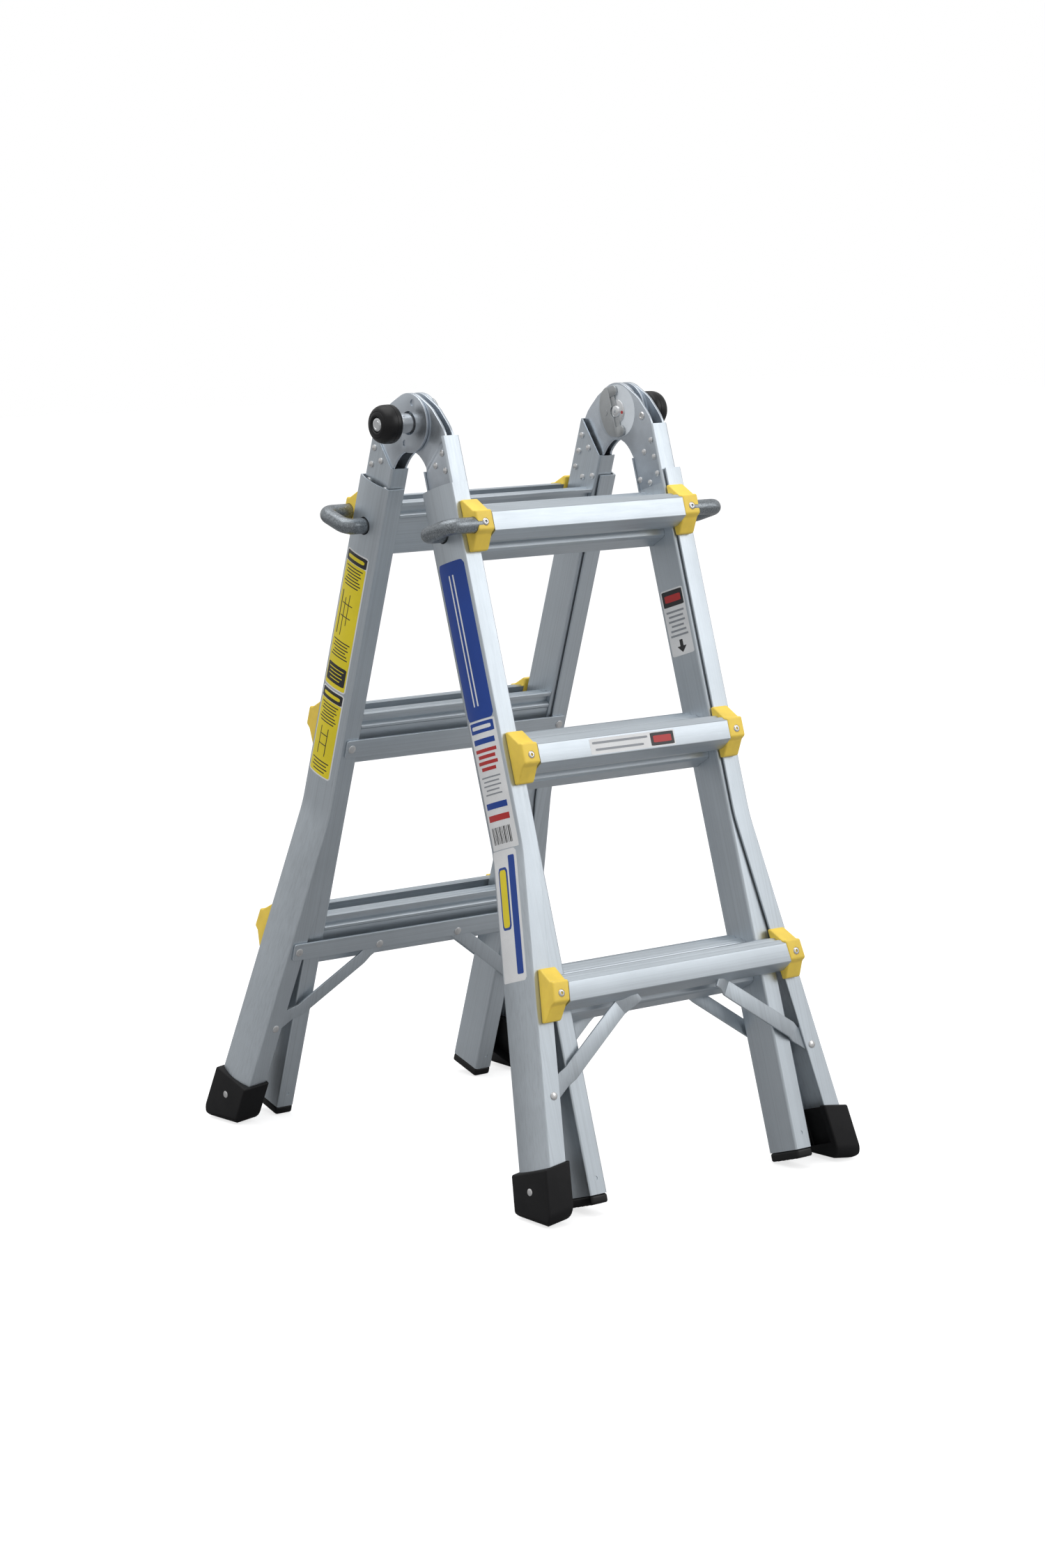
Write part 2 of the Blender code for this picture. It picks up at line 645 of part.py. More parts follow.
def boot(name, side, parent):
    """Rubber foot; its sole is level across the lean when the ladder stands."""

    def sole(n):
        return (SOLE_REACH + n * math.sin(LEAN)) / math.cos(LEAN)

    corners = [
        (BOOT_NEAR, BOOT_TOP, 2.5), (BOOT_FAR, BOOT_TOP, 2.5), (BOOT_FAR, sole(BOOT_FAR), 14.0),
        (BOOT_NEAR, sole(BOOT_NEAR), 12.0),
    ]

    def tilt(co):
        inward = BOOT_OUT - abs(co.x) / MM
        drop = FLARE_SLOPE * inward * MM
        sway = side * flare(-co.z / MM) * MM
        return co + Vector((sway, 0, drop))

    def slope(co):
        return tilt(co + Vector((0, 0, co.y * math.tan(LEAN))))

    stations = (side * BOOT_IN, side * BOOT_OUT)
    foot = prism(name, fillet(corners, 3), "x", stations, parent, RUBBER, shear=tilt)
    bevel(foot, 2.0, 1, 50)
    sole_edge = SOLE_REACH / math.cos(LEAN)
    across = [
        (BOOT_IN - 1, BOOT_TOP - 30, 0), (BOOT_OUT + 1, BOOT_TOP - 30, 0),
        (BOOT_OUT + 1, sole_edge, 10.0), (BOOT_IN - 1, sole_edge, 5.0),
    ]
    rounding = prism(
        name + "_rounding", mirrored(fillet(across, 3), side), "n", (-5, 90), parent,
        group=TOOLS, shear=slope,
    )
    combine(foot, [rounding], "INTERSECT")
    grown = mirrored(offset(channel_outline(), GAP + 0.1), side)
    cuts = [
        prism(
            name + "_slot", grown, "s", (BOOT_TOP - 20, CHANNEL_BOTTOM + GAP), parent,
            group=TOOLS, side=side,
        ),
        prism(
            name + "_hollow", mirrored(box_outline(150, 183, 13.5, 66.2, 2.0, 1), side), "s",
            (BOOT_TOP - 20, CHANNEL_BOTTOM - 4), parent, group=TOOLS, side=side,
        ),
    ]
    combine(foot, cuts, "DIFFERENCE")
    x = BOOT_OUT + flare(1005)
    rivet = rod(name + "_rivet", side * (x - 4), side * (x + 1.0), 4.5, parent, MID_N, 1005, 12)
    return smooth(combine(foot, [rivet], "UNION"))


def lock_pin(name, side, parent):
    """Bent rod: one leg slides in the bracket, the other drops through the rail into the rung line."""
    bend = 230.0
    turn = 13.0
    route = [(174.8, LOCK_PIN_N), (bend - turn, LOCK_PIN_N)]
    route += [
        (bend - turn + turn * math.sin(a), LOCK_PIN_N - turn + turn * math.cos(a))
        for a in (math.pi / 6, math.pi / 3)
    ]
    route += [(bend, LOCK_PIN_N - turn), (bend, MID_N + turn)]
    route += [
        (bend - turn + turn * math.cos(a), MID_N + turn - turn * math.sin(a))
        for a in (math.pi / 6, math.pi / 3)
    ]
    route += [(bend - turn, MID_N), (200.2, MID_N), (197.6, MID_N)]
    radii = [LOCK_PIN_RADIUS] * (len(route) - 1) + [LOCK_PIN_RADIUS - 2]
    bm = bmesh.new()
    rings = []
    steps = 12
    for i, (x, n) in enumerate(route):
        before = Vector(route[max(i - 1, 0)])
        after = Vector(route[min(i + 1, len(route) - 1)])
        heading = (after - before).normalized()
        aside = Vector((-heading.y, heading.x))
        ring = []
        for k in range(steps):
            a = 2 * math.pi * k / steps
            flat = Vector((x, n)) + aside * radii[i] * math.cos(a)
            ring.append(bm.verts.new(at(side * flat.x, flat.y, LOCK_PIN_S + radii[i] * math.sin(a))))
        rings.append(ring)
    skin(bm, rings)
    made = to_object(name, bm, PARTS, parent, CAST)
    guide = rod(name + "_guide_rod", side * 150, side * 176, 6.0, parent, LOCK_PIN_N, LOCK_PIN_S, 12)
    return smooth(combine(made, [guide], "UNION"))


# --- assembly -------------------------------------------------------------------------------

HALVES = {
    "front": half_empty("front_half", 0.0),
    "back": half_empty("back_half", math.pi),
}

for half, empty in HALVES.items():
    for word, world_side in (("left", -1), ("right", 1)):
        local = world_side if half == "front" else -world_side
        lock_side = (half, word) in (("front", "right"), ("back", "left"))
        inner_rail(f"{half}_inner_rail_{word}", local, empty, lock_side)
        end_cap(f"{half}_end_cap_{word}", local, empty)
        outer_rail(f"{half}_outer_rail_{word}", local, empty)
        boot(f"{half}_boot_{word}", local, empty)
        lock_pin(f"{half}_lock_pin_{word}", local, empty)
        for index, rung_name in enumerate(RUNG_NAMES):
            bracket(f"{half}_bracket_{rung_name}_{word}", local, index, empty)
        leaf(f"hinge_{half}_leaf_{word}", local, empty, lock_side)
        if lock_side:
            lock_knob(f"hinge_knob_{word}", local, empty)
            lock_yoke(f"hinge_lock_yoke_{word}", local, empty)
    for index, rung_name in enumerate(RUNG_NAMES):
        inner_rung(f"{half}_inner_rung_{rung_name}", FIRST_RUNG + index * RUNG_PITCH, empty)
        outer_rung(f"{half}_outer_rung_{rung_name}", index, empty)
    for index, strap_name in enumerate(RUNG_NAMES[1:]):
        strap(f"{half}_strap_{strap_name}", index, empty)

bpy.context.view_layer.update()
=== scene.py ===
"""Looks of the multi position ladder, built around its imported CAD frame.

Pieces are drawn in each half's rail frame, as the CAD is: x across the ladder, n outward from
the fold plane and s down the rail from the hinge axis, in millimetres.
"""

import json
import math

import bmesh
import bpy
from mathutils import Euler, Matrix, Vector

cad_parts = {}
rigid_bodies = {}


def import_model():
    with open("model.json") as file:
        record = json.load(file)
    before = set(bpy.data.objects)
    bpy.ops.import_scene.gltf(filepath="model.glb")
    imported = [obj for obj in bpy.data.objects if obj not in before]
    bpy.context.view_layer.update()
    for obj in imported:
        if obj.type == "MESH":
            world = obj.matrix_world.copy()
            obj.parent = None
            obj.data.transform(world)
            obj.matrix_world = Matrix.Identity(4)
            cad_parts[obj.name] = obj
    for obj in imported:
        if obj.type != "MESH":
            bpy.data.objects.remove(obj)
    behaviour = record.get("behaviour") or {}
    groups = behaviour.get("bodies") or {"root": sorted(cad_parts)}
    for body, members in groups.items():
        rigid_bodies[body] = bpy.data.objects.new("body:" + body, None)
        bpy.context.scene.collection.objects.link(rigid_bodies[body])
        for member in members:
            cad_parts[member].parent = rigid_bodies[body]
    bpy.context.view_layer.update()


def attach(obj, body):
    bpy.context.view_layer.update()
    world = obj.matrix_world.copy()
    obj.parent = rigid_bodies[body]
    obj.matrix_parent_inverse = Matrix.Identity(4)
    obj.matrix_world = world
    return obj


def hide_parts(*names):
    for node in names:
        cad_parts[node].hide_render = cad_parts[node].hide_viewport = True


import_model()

MM = 0.001
LEAN = math.radians(17.25)
HINGE_HEIGHT = 986.82
SOLE_REACH = 988.0

TUBE_IN = 164.3
TUBE_OUT = 192.3
TUBE_NEAR = 12.3
TUBE_FAR = 67.4
TUBE_WALL = 2.0
TUBE_BOTTOM = 1024.5
TUBE_TOP_FAR = 34.0
TUBE_TOP_NEAR = 69.0
NOTCH_END = 115.0

CHANNEL_LIP = 169.4
CHANNEL_EDGE = 196.5
CHANNEL_NEAR = 7.7
CHANNEL_FAR = 72.0
CHANNEL_WALL = 2.4
CROWN = 5.0
CHANNEL_TOP = 96.7
CHANNEL_BOTTOM = 1030.0
FLARE_START = 559.0
FLARE_BEND = 30.0
FLARE_SLOPE = 0.137
MID_N = (CHANNEL_NEAR + CHANNEL_FAR) / 2

FIRST_RUNG = 156.5
RUNG_PITCH = 305.0
RUNG_NAMES = ("top", "middle", "low")
RUNG_END = 163.0
OUTER_RUNG_FACE = 101.0
BRACKET_IN = 163.3
BRACKET_OUT = 189.3
BRACKET_BACK = 72.3

STRAP_LEVELS = (469.5, 773.5)
STRAP_HEIGHT = 25.0
STRAP_NEAR = 4.4
STRAP_FAR = 7.4
BRACE_WIDTH = 22.0
BRACE_THICK = 3.0
BRACE_RIVET = (223.5, 892.0)

BOOT_TOP = 980.0
BOOT_IN = 165.0
BOOT_OUT = 206.5
BOOT_NEAR = 3.6
BOOT_FAR = 76.1

DISC_RADIUS = 39.0
LEAF_RIVETS = ((55, 57), (67, 39), (78, 57), (101, 57), (109.5, 39), (101, 20))
LOCK_LEAF = ((166.6, 170.15), (186.15, 190.0))
PLAIN_LEAF = ((170.45, 174.3), (182.0, 185.85))
JOGGLE = 4.15
JOGGLE_START = 61.0
JOGGLE_END = 73.0
JOGGLE_ANGLE = math.radians(30.2)
LOCK_HOLE_S = 28.0
STOP_STUD = (18.8, 48.6)
PLAIN_BORE = 15.5
HINGE_PIN_RADIUS = 4.4
SLEEVE_RADIUS = 13.0
KNOB_IN = 215.5
KNOB_OUT = 243.0
LOCK_PIN_RADIUS = 10.5
LOCK_PIN_S = 158.0
LOCK_PIN_N = 91.0
FINE_GAP = 0.3
LABEL_LAYER = 0.13
LABEL_TOP = 0.12
LABEL_SUNK = 0.06

KEY_WATTS = 37.0
TOP_WATTS = 50.0

# --- camera ---

IMAGE_WIDTH = 1500.0
IMAGE_HEIGHT = 2250.0
SENSOR_HEIGHT = 36.0
CAMERA_PLACE = Vector((-3.17773, -3.91323, 1.30446))
CAMERA_RIGHT = Vector((0.7755408157523823, -0.6312814192129437, -0.004495871286078402))
CAMERA_UP = Vector((0.10135543269810593, 0.11748144289987363, 0.9878892583671653))
CAMERA_AHEAD = Vector((0.6231079516140915, 0.7666041223021538, -0.15509546543093725))
FOCAL_PIXELS = 5415.4349
CENTRE_U = 753.6275
CENTRE_V = 1101.9378

lens = bpy.data.cameras.new("photo_camera")
lens.sensor_fit = "VERTICAL"
lens.sensor_height = SENSOR_HEIGHT
lens.lens = FOCAL_PIXELS / IMAGE_HEIGHT * SENSOR_HEIGHT
lens.shift_x = -(CENTRE_U - IMAGE_WIDTH / 2) / IMAGE_HEIGHT
lens.shift_y = (CENTRE_V - IMAGE_HEIGHT / 2) / IMAGE_HEIGHT
lens.clip_start = 0.05
lens.clip_end = 100.0
camera = bpy.data.objects.new("photo_camera", lens)
bpy.context.scene.collection.objects.link(camera)
turned = Matrix((CAMERA_RIGHT, CAMERA_UP, -CAMERA_AHEAD)).transposed().to_4x4()
camera.matrix_world = Matrix.Translation(CAMERA_PLACE) @ turned
bpy.context.scene.camera = camera
bpy.context.scene.view_settings.view_transform = "Standard"

# --- materials ---


class Look:
    """A Principled material with procedural colour, roughness and bump."""

    def __init__(self, name, metallic=0.0, roughness=0.5, specular=0.5):
        self.made = bpy.data.materials.new(name)
        self.made.use_nodes = True
        self.tree = self.made.node_tree
        self.shader = self.tree.nodes["Principled BSDF"]
        self.shader.inputs["Metallic"].default_value = metallic
        self.shader.inputs["Roughness"].default_value = roughness
        self.shader.inputs["Specular IOR Level"].default_value = specular
        self.place = self.node("TexCoord").outputs["Object"]

    def link(self, a, b):
        self.tree.links.new(a, b)

    def node(self, kind, **inputs):
        """A new node, each named input linked to a socket or set to a value."""
        made = self.tree.nodes.new("ShaderNode" + kind)
        for name, value in inputs.items():
            socket = made.inputs[name.replace("_", " ")]
            if isinstance(value, bpy.types.NodeSocket):
                self.link(value, socket)
            else:
                socket.default_value = value
        return made

    def space(self, scale, lean=0.0):
        place = self.place
        if lean:
            place = self.node("Mapping", Vector=place, Rotation=(lean, 0, 0)).outputs["Vector"]
        return self.node("Mapping", Vector=place, Scale=scale).outputs["Vector"]

    def noise(self, scale, stretch=(1, 1, 1), detail=3.0, rough=0.55, lean=0.0):
        place = self.space(stretch, lean)
        made = self.node("TexNoise", Vector=place, Scale=scale, Detail=detail, Roughness=rough)
        return made.outputs["Fac"]

    def voronoi(self, scale):
        return self.node("TexVoronoi", Vector=self.place, Scale=scale).outputs["Distance"]

    def spread(self, value, low, high, first=0.3, last=0.7):
        made = self.node(
            "MapRange", Value=value, From_Min=first, From_Max=last, To_Min=low, To_Max=high
        )
        return made.outputs["Result"]

    def ramp(self, value, stops):
        node = self.tree.nodes.new("ShaderNodeValToRGB")
        band = node.color_ramp
        while len(band.elements) < len(stops):
            band.elements.new(0.5)
        for element, (spot, colour) in zip(band.elements, stops):
            element.position = spot
            element.color = (*colour, 1.0)
        self.link(value, node.inputs["Fac"])
        return node.outputs["Color"]

    def times(self, a, b):
        node = self.tree.nodes.new("ShaderNodeMix")
        node.data_type = "RGBA"
        node.blend_type = "MULTIPLY"
        node.inputs[0].default_value = 1.0
        self.link(a, node.inputs[6])
        self.link(b, node.inputs[7])
        return node.outputs[2]

    def total(self, a, b, share):
        node = self.tree.nodes.new("ShaderNodeMath")
        node.operation = "MULTIPLY_ADD"
        node.inputs[1].default_value = share
        self.link(b, node.inputs[0])
        self.link(a, node.inputs[2])
        return node.outputs[0]

    def paint(self, colour):
        self.link(colour, self.shader.inputs["Base Color"])

    def gloss(self, value):
        self.link(value, self.shader.inputs["Roughness"])

    def bump(self, value, strength, distance):
        made = self.node("Bump", Height=value, Strength=strength, Distance=distance)
        self.link(made.outputs["Normal"], self.shader.inputs["Normal"])


def grey(value):
    """Cool metal grey."""
    return (value * 0.915, value, value * 1.075)


def share(value):
    """Neutral multiplier."""
    return (value, value, value)


def extruded(name, lean, level, across=False):
    """Mill finish aluminium: die lines along the extrusion, cloudy oxide and small scuffs."""
    look = Look(name, 0.88, 0.4)
    if across:
        streak = look.noise(1.0, (1.5, 420, 420), 4.0, 0.6, lean)
        scuff = look.noise(1.0, (18, 140, 140), 6.0, 0.7, lean)
    else:
        streak = look.noise(1.0, (420, 420, 1.5), 4.0, 0.6, lean)
        scuff = look.noise(1.0, (140, 140, 18), 6.0, 0.7, lean)
    cloud = look.noise(9.0, (1, 1, 1), 5.0, 0.6)
    base = look.ramp(
        streak, ((0.3, grey(level * 0.9)), (0.5, grey(level)), (0.72, grey(level * 1.06)))
    )
    veil = look.ramp(cloud, ((0.3, share(0.92)), (0.7, share(1.0))))
    wear = look.ramp(scuff, ((0.0, share(1.0)), (0.66, share(1.0)), (0.74, share(0.88))))
    look.paint(look.times(look.times(base, veil), wear))
    look.gloss(look.total(look.spread(streak, 0.3, 0.4), scuff, 0.12))
    look.bump(look.total(streak, scuff, 0.5), 0.16, 0.0002)
    return look.made


def plated(name, level, tint=(1.0, 1.0, 1.0), rough=0.32, grain=900.0):
    """Zinc plated steel: fine grain, faint clouding."""
    look = Look(name, 0.92, rough)
    fine = look.noise(grain, (1, 1, 1), 2.0, 0.5)
    cloud = look.noise(26.0, (1, 1, 1), 4.0, 0.6)
    low, high = (tuple(level * k * c for c in tint) for k in (0.86, 1.07))
    base = look.ramp(cloud, ((0.28, low), (0.7, high)))
    speck = look.ramp(fine, ((0.3, share(0.93)), (0.65, share(1.0))))
    look.paint(look.times(base, speck))
    look.gloss(look.spread(cloud, rough - 0.05, rough + 0.1))
    look.bump(fine, 0.12, 0.0001)
    return look.made


def hammered(name, level):
    """Cast or hammer painted grey with light and dark flecks."""
    look = Look(name, 0.8, 0.36)
    cells = look.voronoi(300.0)
    fleck = look.noise(520.0, (1, 1, 1), 4.0, 0.75)
    cloud = look.noise(40.0, (1, 1, 1), 3.0, 0.6)
    base = look.ramp(
        fleck,
        (
            (0.32, grey(level * 0.55)), (0.47, grey(level * 0.95)), (0.58, grey(level * 1.2)),
            (0.68, grey(level * 1.9)),
        ),
    )
    look.paint(look.times(base, look.ramp(cloud, ((0.3, share(0.8)), (0.7, share(1.0))))))
    look.gloss(look.spread(fleck, 0.24, 0.46))
    look.bump(look.total(cells, fleck, 0.6), 0.3, 0.0005)
    return look.made


def moulded(name, colour, rough, grain, strength, wear=None, specular=0.5):
    """Moulded plastic or rubber: fine spark texture, slow tint shifts and sparse scuffs."""
    look = Look(name, 0.0, rough, specular)
    fine = look.noise(grain, (1, 1, 1), 3.0, 0.6)
    cloud = look.noise(30.0, (1, 1, 1), 4.0, 0.6)
    scratch = look.noise(1.0, (60, 60, 320), 5.0, 0.75)
    low, high = (tuple(k * c for c in colour) for k in (0.88, 1.08))
    base = look.ramp(cloud, ((0.3, low), (0.7, high)))
    mark = wear or share(0.85)
    scuff = look.ramp(scratch, ((0.0, share(1.0)), (0.68, share(1.0)), (0.78, mark)))
    look.paint(look.times(base, scuff))
    look.gloss(look.total(look.spread(cloud, rough - 0.06, rough + 0.06), scratch, 0.1))
    look.bump(fine, strength, 0.00025)
    return look.made


def printed(name, colour):
    """Printed vinyl label: slight mottling under a satin film."""
    look = Look(name, 0.0, 0.35)
    fine = look.noise(700.0, (1, 1, 1), 2.0, 0.5)
    cloud = look.noise(22.0, (1, 1, 1), 4.0, 0.6)
    low, high = (tuple(min(1.0, k * c) for c in colour) for k in (0.92, 1.04))
    base = look.ramp(cloud, ((0.3, low), (0.7, high)))
    look.paint(look.times(base, look.ramp(fine, ((0.3, share(0.965)), (0.6, share(1.0))))))
    look.gloss(look.spread(cloud, 0.28, 0.42))
    look.bump(fine, 0.06, 0.0001)
    return look.made


METAL = 0.63
ALUMINIUM = {
    "front": extruded("aluminium_front", LEAN, METAL),
    "back": extruded("aluminium_back", -LEAN, METAL),
}
TREAD = {
    "front": extruded("aluminium_tread_front", LEAN, METAL, True),
    "back": extruded("aluminium_tread_back", -LEAN, METAL, True),
}
PLATE = plated("hinge_plate_steel", 0.64, (0.92, 1.0, 1.09), 0.32)
BRIGHT = plated("bright_steel", 0.8, (0.98, 1.0, 1.02), 0.22)
RIVET = plated("rivet_steel", 0.72, (1.0, 1.0, 1.0), 0.28)
ZINC = plated("zinc_lock_plate", 0.5, (0.96, 1.0, 1.02), 0.3)
CAST = hammered("hammered_grey", 0.3)
YELLOW = moulded("yellow_plastic_look", (1.0, 0.72, 0.1), 0.42, 900.0, 0.12, share(0.86))
BLACK = moulded(
    "black_plastic_look", (0.0035, 0.0035, 0.0045), 0.34, 800.0, 0.1, share(1.8), 0.35
)
RUBBER = moulded("black_rubber_look", (0.003, 0.003, 0.004), 0.5, 700.0, 0.22, share(2.2), 0.28)
INK = {
    "white": printed("label_white", (0.86, 0.87, 0.88)),
    "black": printed("label_black", (0.02, 0.02, 0.022)),
    "blue": printed("label_blue", (0.006, 0.055, 0.33)),
    "red": printed("label_red", (0.52, 0.03, 0.03)),
    "yellow": printed("label_yellow", (0.9, 0.74, 0.02)),
    "grey": printed("label_grey", (0.3, 0.32, 0.35)),
    "silver": printed("label_silver", (0.78, 0.83, 0.88)),
}


# --- building ---

SCENE = bpy.context.scene.collection
HALF = {}
for half_name, heading in (("front", 0.0), ("back", math.pi)):
    lean = Euler((-LEAN, 0, heading)).to_matrix().to_4x4()
    HALF[half_name] = Matrix.Translation((0, 0, HINGE_HEIGHT * MM)) @ lean


def at(x, n, s):
    """Rail frame to the half's own axes, in metres."""
    return Vector((x * MM, -n * MM, -s * MM))


def flare(s):
    """How far the outer rail has moved outward at s."""
    past = max(0.0, s - FLARE_START)
    if past < FLARE_BEND:
        return FLARE_SLOPE * past * past / (2 * FLARE_BEND)
    return FLARE_SLOPE * (past - FLARE_BEND / 2)


def fillet(corners, steps=3):
    """Outline with each (u, v, radius) corner rounded."""
    points = []
    count = len(corners)
    for i, (u, v, radius) in enumerate(corners):
        here = Vector((u, v))
        if radius <= 0:
            points.append((u, v))
            continue
        back = (Vector(corners[i - 1][:2]) - here).normalized()
        ahead = (Vector(corners[(i + 1) % count][:2]) - here).normalized()
        half = back.angle(ahead) / 2
        reach = radius / math.tan(half)
        centre = here + (back + ahead).normalized() * radius / math.sin(half)
        start = here + back * reach - centre
        end = here + ahead * reach - centre
        for k in range(steps + 1):
            turn = start.slerp(end, k / steps) if k not in (0, steps) else (start, end)[k == steps]
            points.append(tuple(centre + turn.normalized() * radius))
    return points


def offset(points, distance):
    """Outline moved outward by a distance, mitred at the corners."""
    count = len(points)
    area = sum(
        a[0] * b[1] - b[0] * a[1] for a, b in zip(points, points[1:] + points[:1])
    )
    sign = 1 if area > 0 else -1
    moved = []
    for i in range(count):
        here = Vector(points[i])
        before = (here - Vector(points[i - 1])).normalized()
        after = (Vector(points[(i + 1) % count]) - here).normalized()
        one = Vector((before.y, -before.x)) * sign
        two = Vector((after.y, -after.x)) * sign
        moved.append(tuple(here + (one + two) * distance / (1 + one.dot(two))))
    return moved


def arc(centre_u, centre_v, radius, first, last, steps):
    """Points on a circle, angles in degrees."""
    angles = [math.radians(first + (last - first) * k / steps) for k in range(steps + 1)]
    return [(centre_u + radius * math.cos(a), centre_v + radius * math.sin(a)) for a in angles]


def place(axis, u, v, w):
    """Outline (u, v) at depth w: axis x takes (n, s), axis s takes (x, n), axis n takes (x, s)."""
    if axis == "x":
        return at(w, u, v)
    if axis == "s":
        return at(u, v, w)
    return at(u, w, v)


def add_object(name, data):
    made = bpy.data.objects.new(name, data)
    SCENE.objects.link(made)
    return made


def to_object(bm):
    """Tool object in the rail frame, removed once its piece is finished."""
    bmesh.ops.recalc_face_normals(bm, faces=bm.faces)
    mesh = bpy.data.meshes.new("tool")
    bm.to_mesh(mesh)
    bm.free()
    made = add_object("tool", mesh)
    made["ladder_tool"] = True
    return made


def skin(bm, rings):
    """Faces between each ring and the next, and a cap on both ends."""
    for a, b in zip(rings, rings[1:]):
        for k in range(len(a)):
            j = (k + 1) % len(a)
            bm.faces.new((a[k], a[j], b[j], b[k]))
    bm.faces.new(rings[0])
    bm.faces.new(rings[-1])


def prism(outline, axis, stations, side=0, shear=None):
    """Outline pushed through the stations. side=+1 or -1 adds the outer rail's flare."""
    bm = bmesh.new()
    rings = [[bm.verts.new(place(axis, u, v, w)) for u, v in outline] for w in stations]
    skin(bm, rings)
    for vert in bm.verts:
        if side:
            vert.co.x += side * flare(-vert.co.z / MM) * MM
        if shear:
            vert.co = shear(vert.co)
    return to_object(bm)


def lathe(profile, steps=32, n=0.0, s=0.0):
    """Closed (radius, x) profile turned about an x-parallel line through (n, s)."""
    bm = bmesh.new()
    verts = [bm.verts.new(at(x, r, 0)) for r, x in profile]
    edges = [bm.edges.new((a, b)) for a, b in zip(verts, verts[1:] + verts[:1])]
    bmesh.ops.spin(
        bm, geom=verts + edges, cent=(0, 0, 0), axis=(1, 0, 0), angle=2 * math.pi, steps=steps,
        use_merge=True,
    )
    bmesh.ops.remove_doubles(bm, verts=bm.verts, dist=0.00001)
    bmesh.ops.translate(bm, verts=bm.verts, vec=at(0, n, s))
    return to_object(bm)


def rod(x0, x1, radius, n, s, steps=16):
    """Plain cylinder along x."""
    return prism(arc(n, s, radius, 0, 360 - 360 / steps, steps - 1), "x", (x0, x1))


def pin(centre_u, centre_v, radius, axis, w0, w1, steps=16):
    """Plain cylinder along any frame axis."""
    outline = arc(centre_u, centre_v, radius, 0, 360 - 360 / steps, steps - 1)
    return prism(outline, axis, (w0, w1))


def combine(target, tools, operation):
    for tool in tools:
        step = target.modifiers.new(operation.lower(), "BOOLEAN")
        step.operation = operation
        step.solver = "EXACT"
        step.object = tool
    return target


def bevel(target, width, segments=2, angle=40):
    step = target.modifiers.new("edge", "BEVEL")
    step.width = width * MM
    step.segments = segments
    step.limit_method = "ANGLE"
    step.angle_limit = math.radians(angle)
    return target


def box_outline(u0, u1, v0, v1, radius, steps=3):
    return fillet([(u0, v0, radius), (u1, v0, radius), (u1, v1, radius), (u0, v1, radius)], steps)


def mirrored(points, side):
    """Outline whose first coordinate is |x|, for the right (+1) or left (-1) side."""
    return [(side * u, v) for u, v in points]


INNER_RUNG = [
    (14.0, -38.5, 1.0), (17.5, -39.2, 1.0), (19.0, -37.4, 0), (24.5, -35.4, 0), (26.0, -36.4, 0),
    (30.0, -34.9, 0), (31.0, -33.0, 0), (36.5, -31.0, 0), (38.0, -32.0, 0), (42.0, -30.5, 0),
    (43.0, -28.6, 0), (49.0, -26.4, 1.5), (50.0, -22.0, 0), (50.0, 27.0, 2.0), (46.5, 30.0, 0),
    (20.0, 36.5, 2.0), (16.0, 33.0, 1.0), (16.0, -15.0, 0), (14.0, -17.0, 1.0),
    (14.0, -20.5, 1.0), (17.0, -22.5, 0), (21.5, -24.0, 0), (21.5, -31.0, 0), (14.5, -33.0, 1.0),
]


INNER_RUNG_BORE = [
    (24.0, -31.5), (47.8, -23.0), (47.8, 27.5), (20.8, 34.0), (18.0, 31.5), (18.0, -16.0),
    (24.0, -20.0),
]


OUTER_RUNG = [
    (72.3, -24.0, 0), (78.0, -21.6, 0), (79.5, -22.6, 0), (83.5, -21.0, 0), (84.5, -19.0, 0),
    (88.0, -17.6, 0), (89.5, -18.5, 0), (93.5, -16.9, 0), (94.5, -15.0, 0),
    (OUTER_RUNG_FACE, -12.4, 1.2), (OUTER_RUNG_FACE, 12.5, 1.5), (81.0, 21.8, 2.0),
    (72.3, 22.5, 0),
]


OUTER_RUNG_BORE = [
    (74.5, -20.5), (99.0, -10.9), (99.0, 11.2), (80.4, 19.8), (74.5, 20.3),
]


def raised(outline, level):
    return [(point[0], point[1] + level, *point[2:]) for point in outline]


def leaf_outline():
    """Round head with a tail; the near side is scooped so the folded halves leave a finger arch."""
    shoulder = [(64.7, 31), (62.5, 22), (59, 14), (54, 4.5), (49, -5), (43, -12.5), (36, -19.5)]
    head = arc(0, 0, DISC_RADIUS, -45, -265, 72)
    scoop = [(3.0, 44.5), (7.0, 50.0), (10.5, 56.5), (12.5, 62.0), (15.0, 69.0)]
    return shoulder + head + scoop + [(15.0, 126.0), (64.7, 126.0)]


def leaf_plate(low, high, side, joggle):
    """One hinge plate; a joggled tail steps outward across a bend parallel to the tube's cut."""
    plate = prism(leaf_outline(), "x", (side * low, side * high))
    if joggle:
        tail = Vector((0, -math.sin(JOGGLE_ANGLE), -math.cos(JOGGLE_ANGLE)))
        bm = bmesh.new()
        bm.from_mesh(plate.data)
        for k in range(7):
            reach = JOGGLE_START + (JOGGLE_END - JOGGLE_START) * k / 6
            everything = list(bm.verts) + list(bm.edges) + list(bm.faces)
            bmesh.ops.bisect_plane(
                bm, geom=everything, dist=0.00001, plane_co=tail * reach * MM, plane_no=tail
            )
        for vert in bm.verts:
            past = (vert.co.dot(tail) / MM - JOGGLE_START) / (JOGGLE_END - JOGGLE_START)
            past = min(1.0, max(0.0, past))
            vert.co.x += side * JOGGLE * MM * past * past * (3 - 2 * past)
        bm.to_mesh(plate.data)
        bm.free()
    return bevel(plate, 0.7, 3, 50)


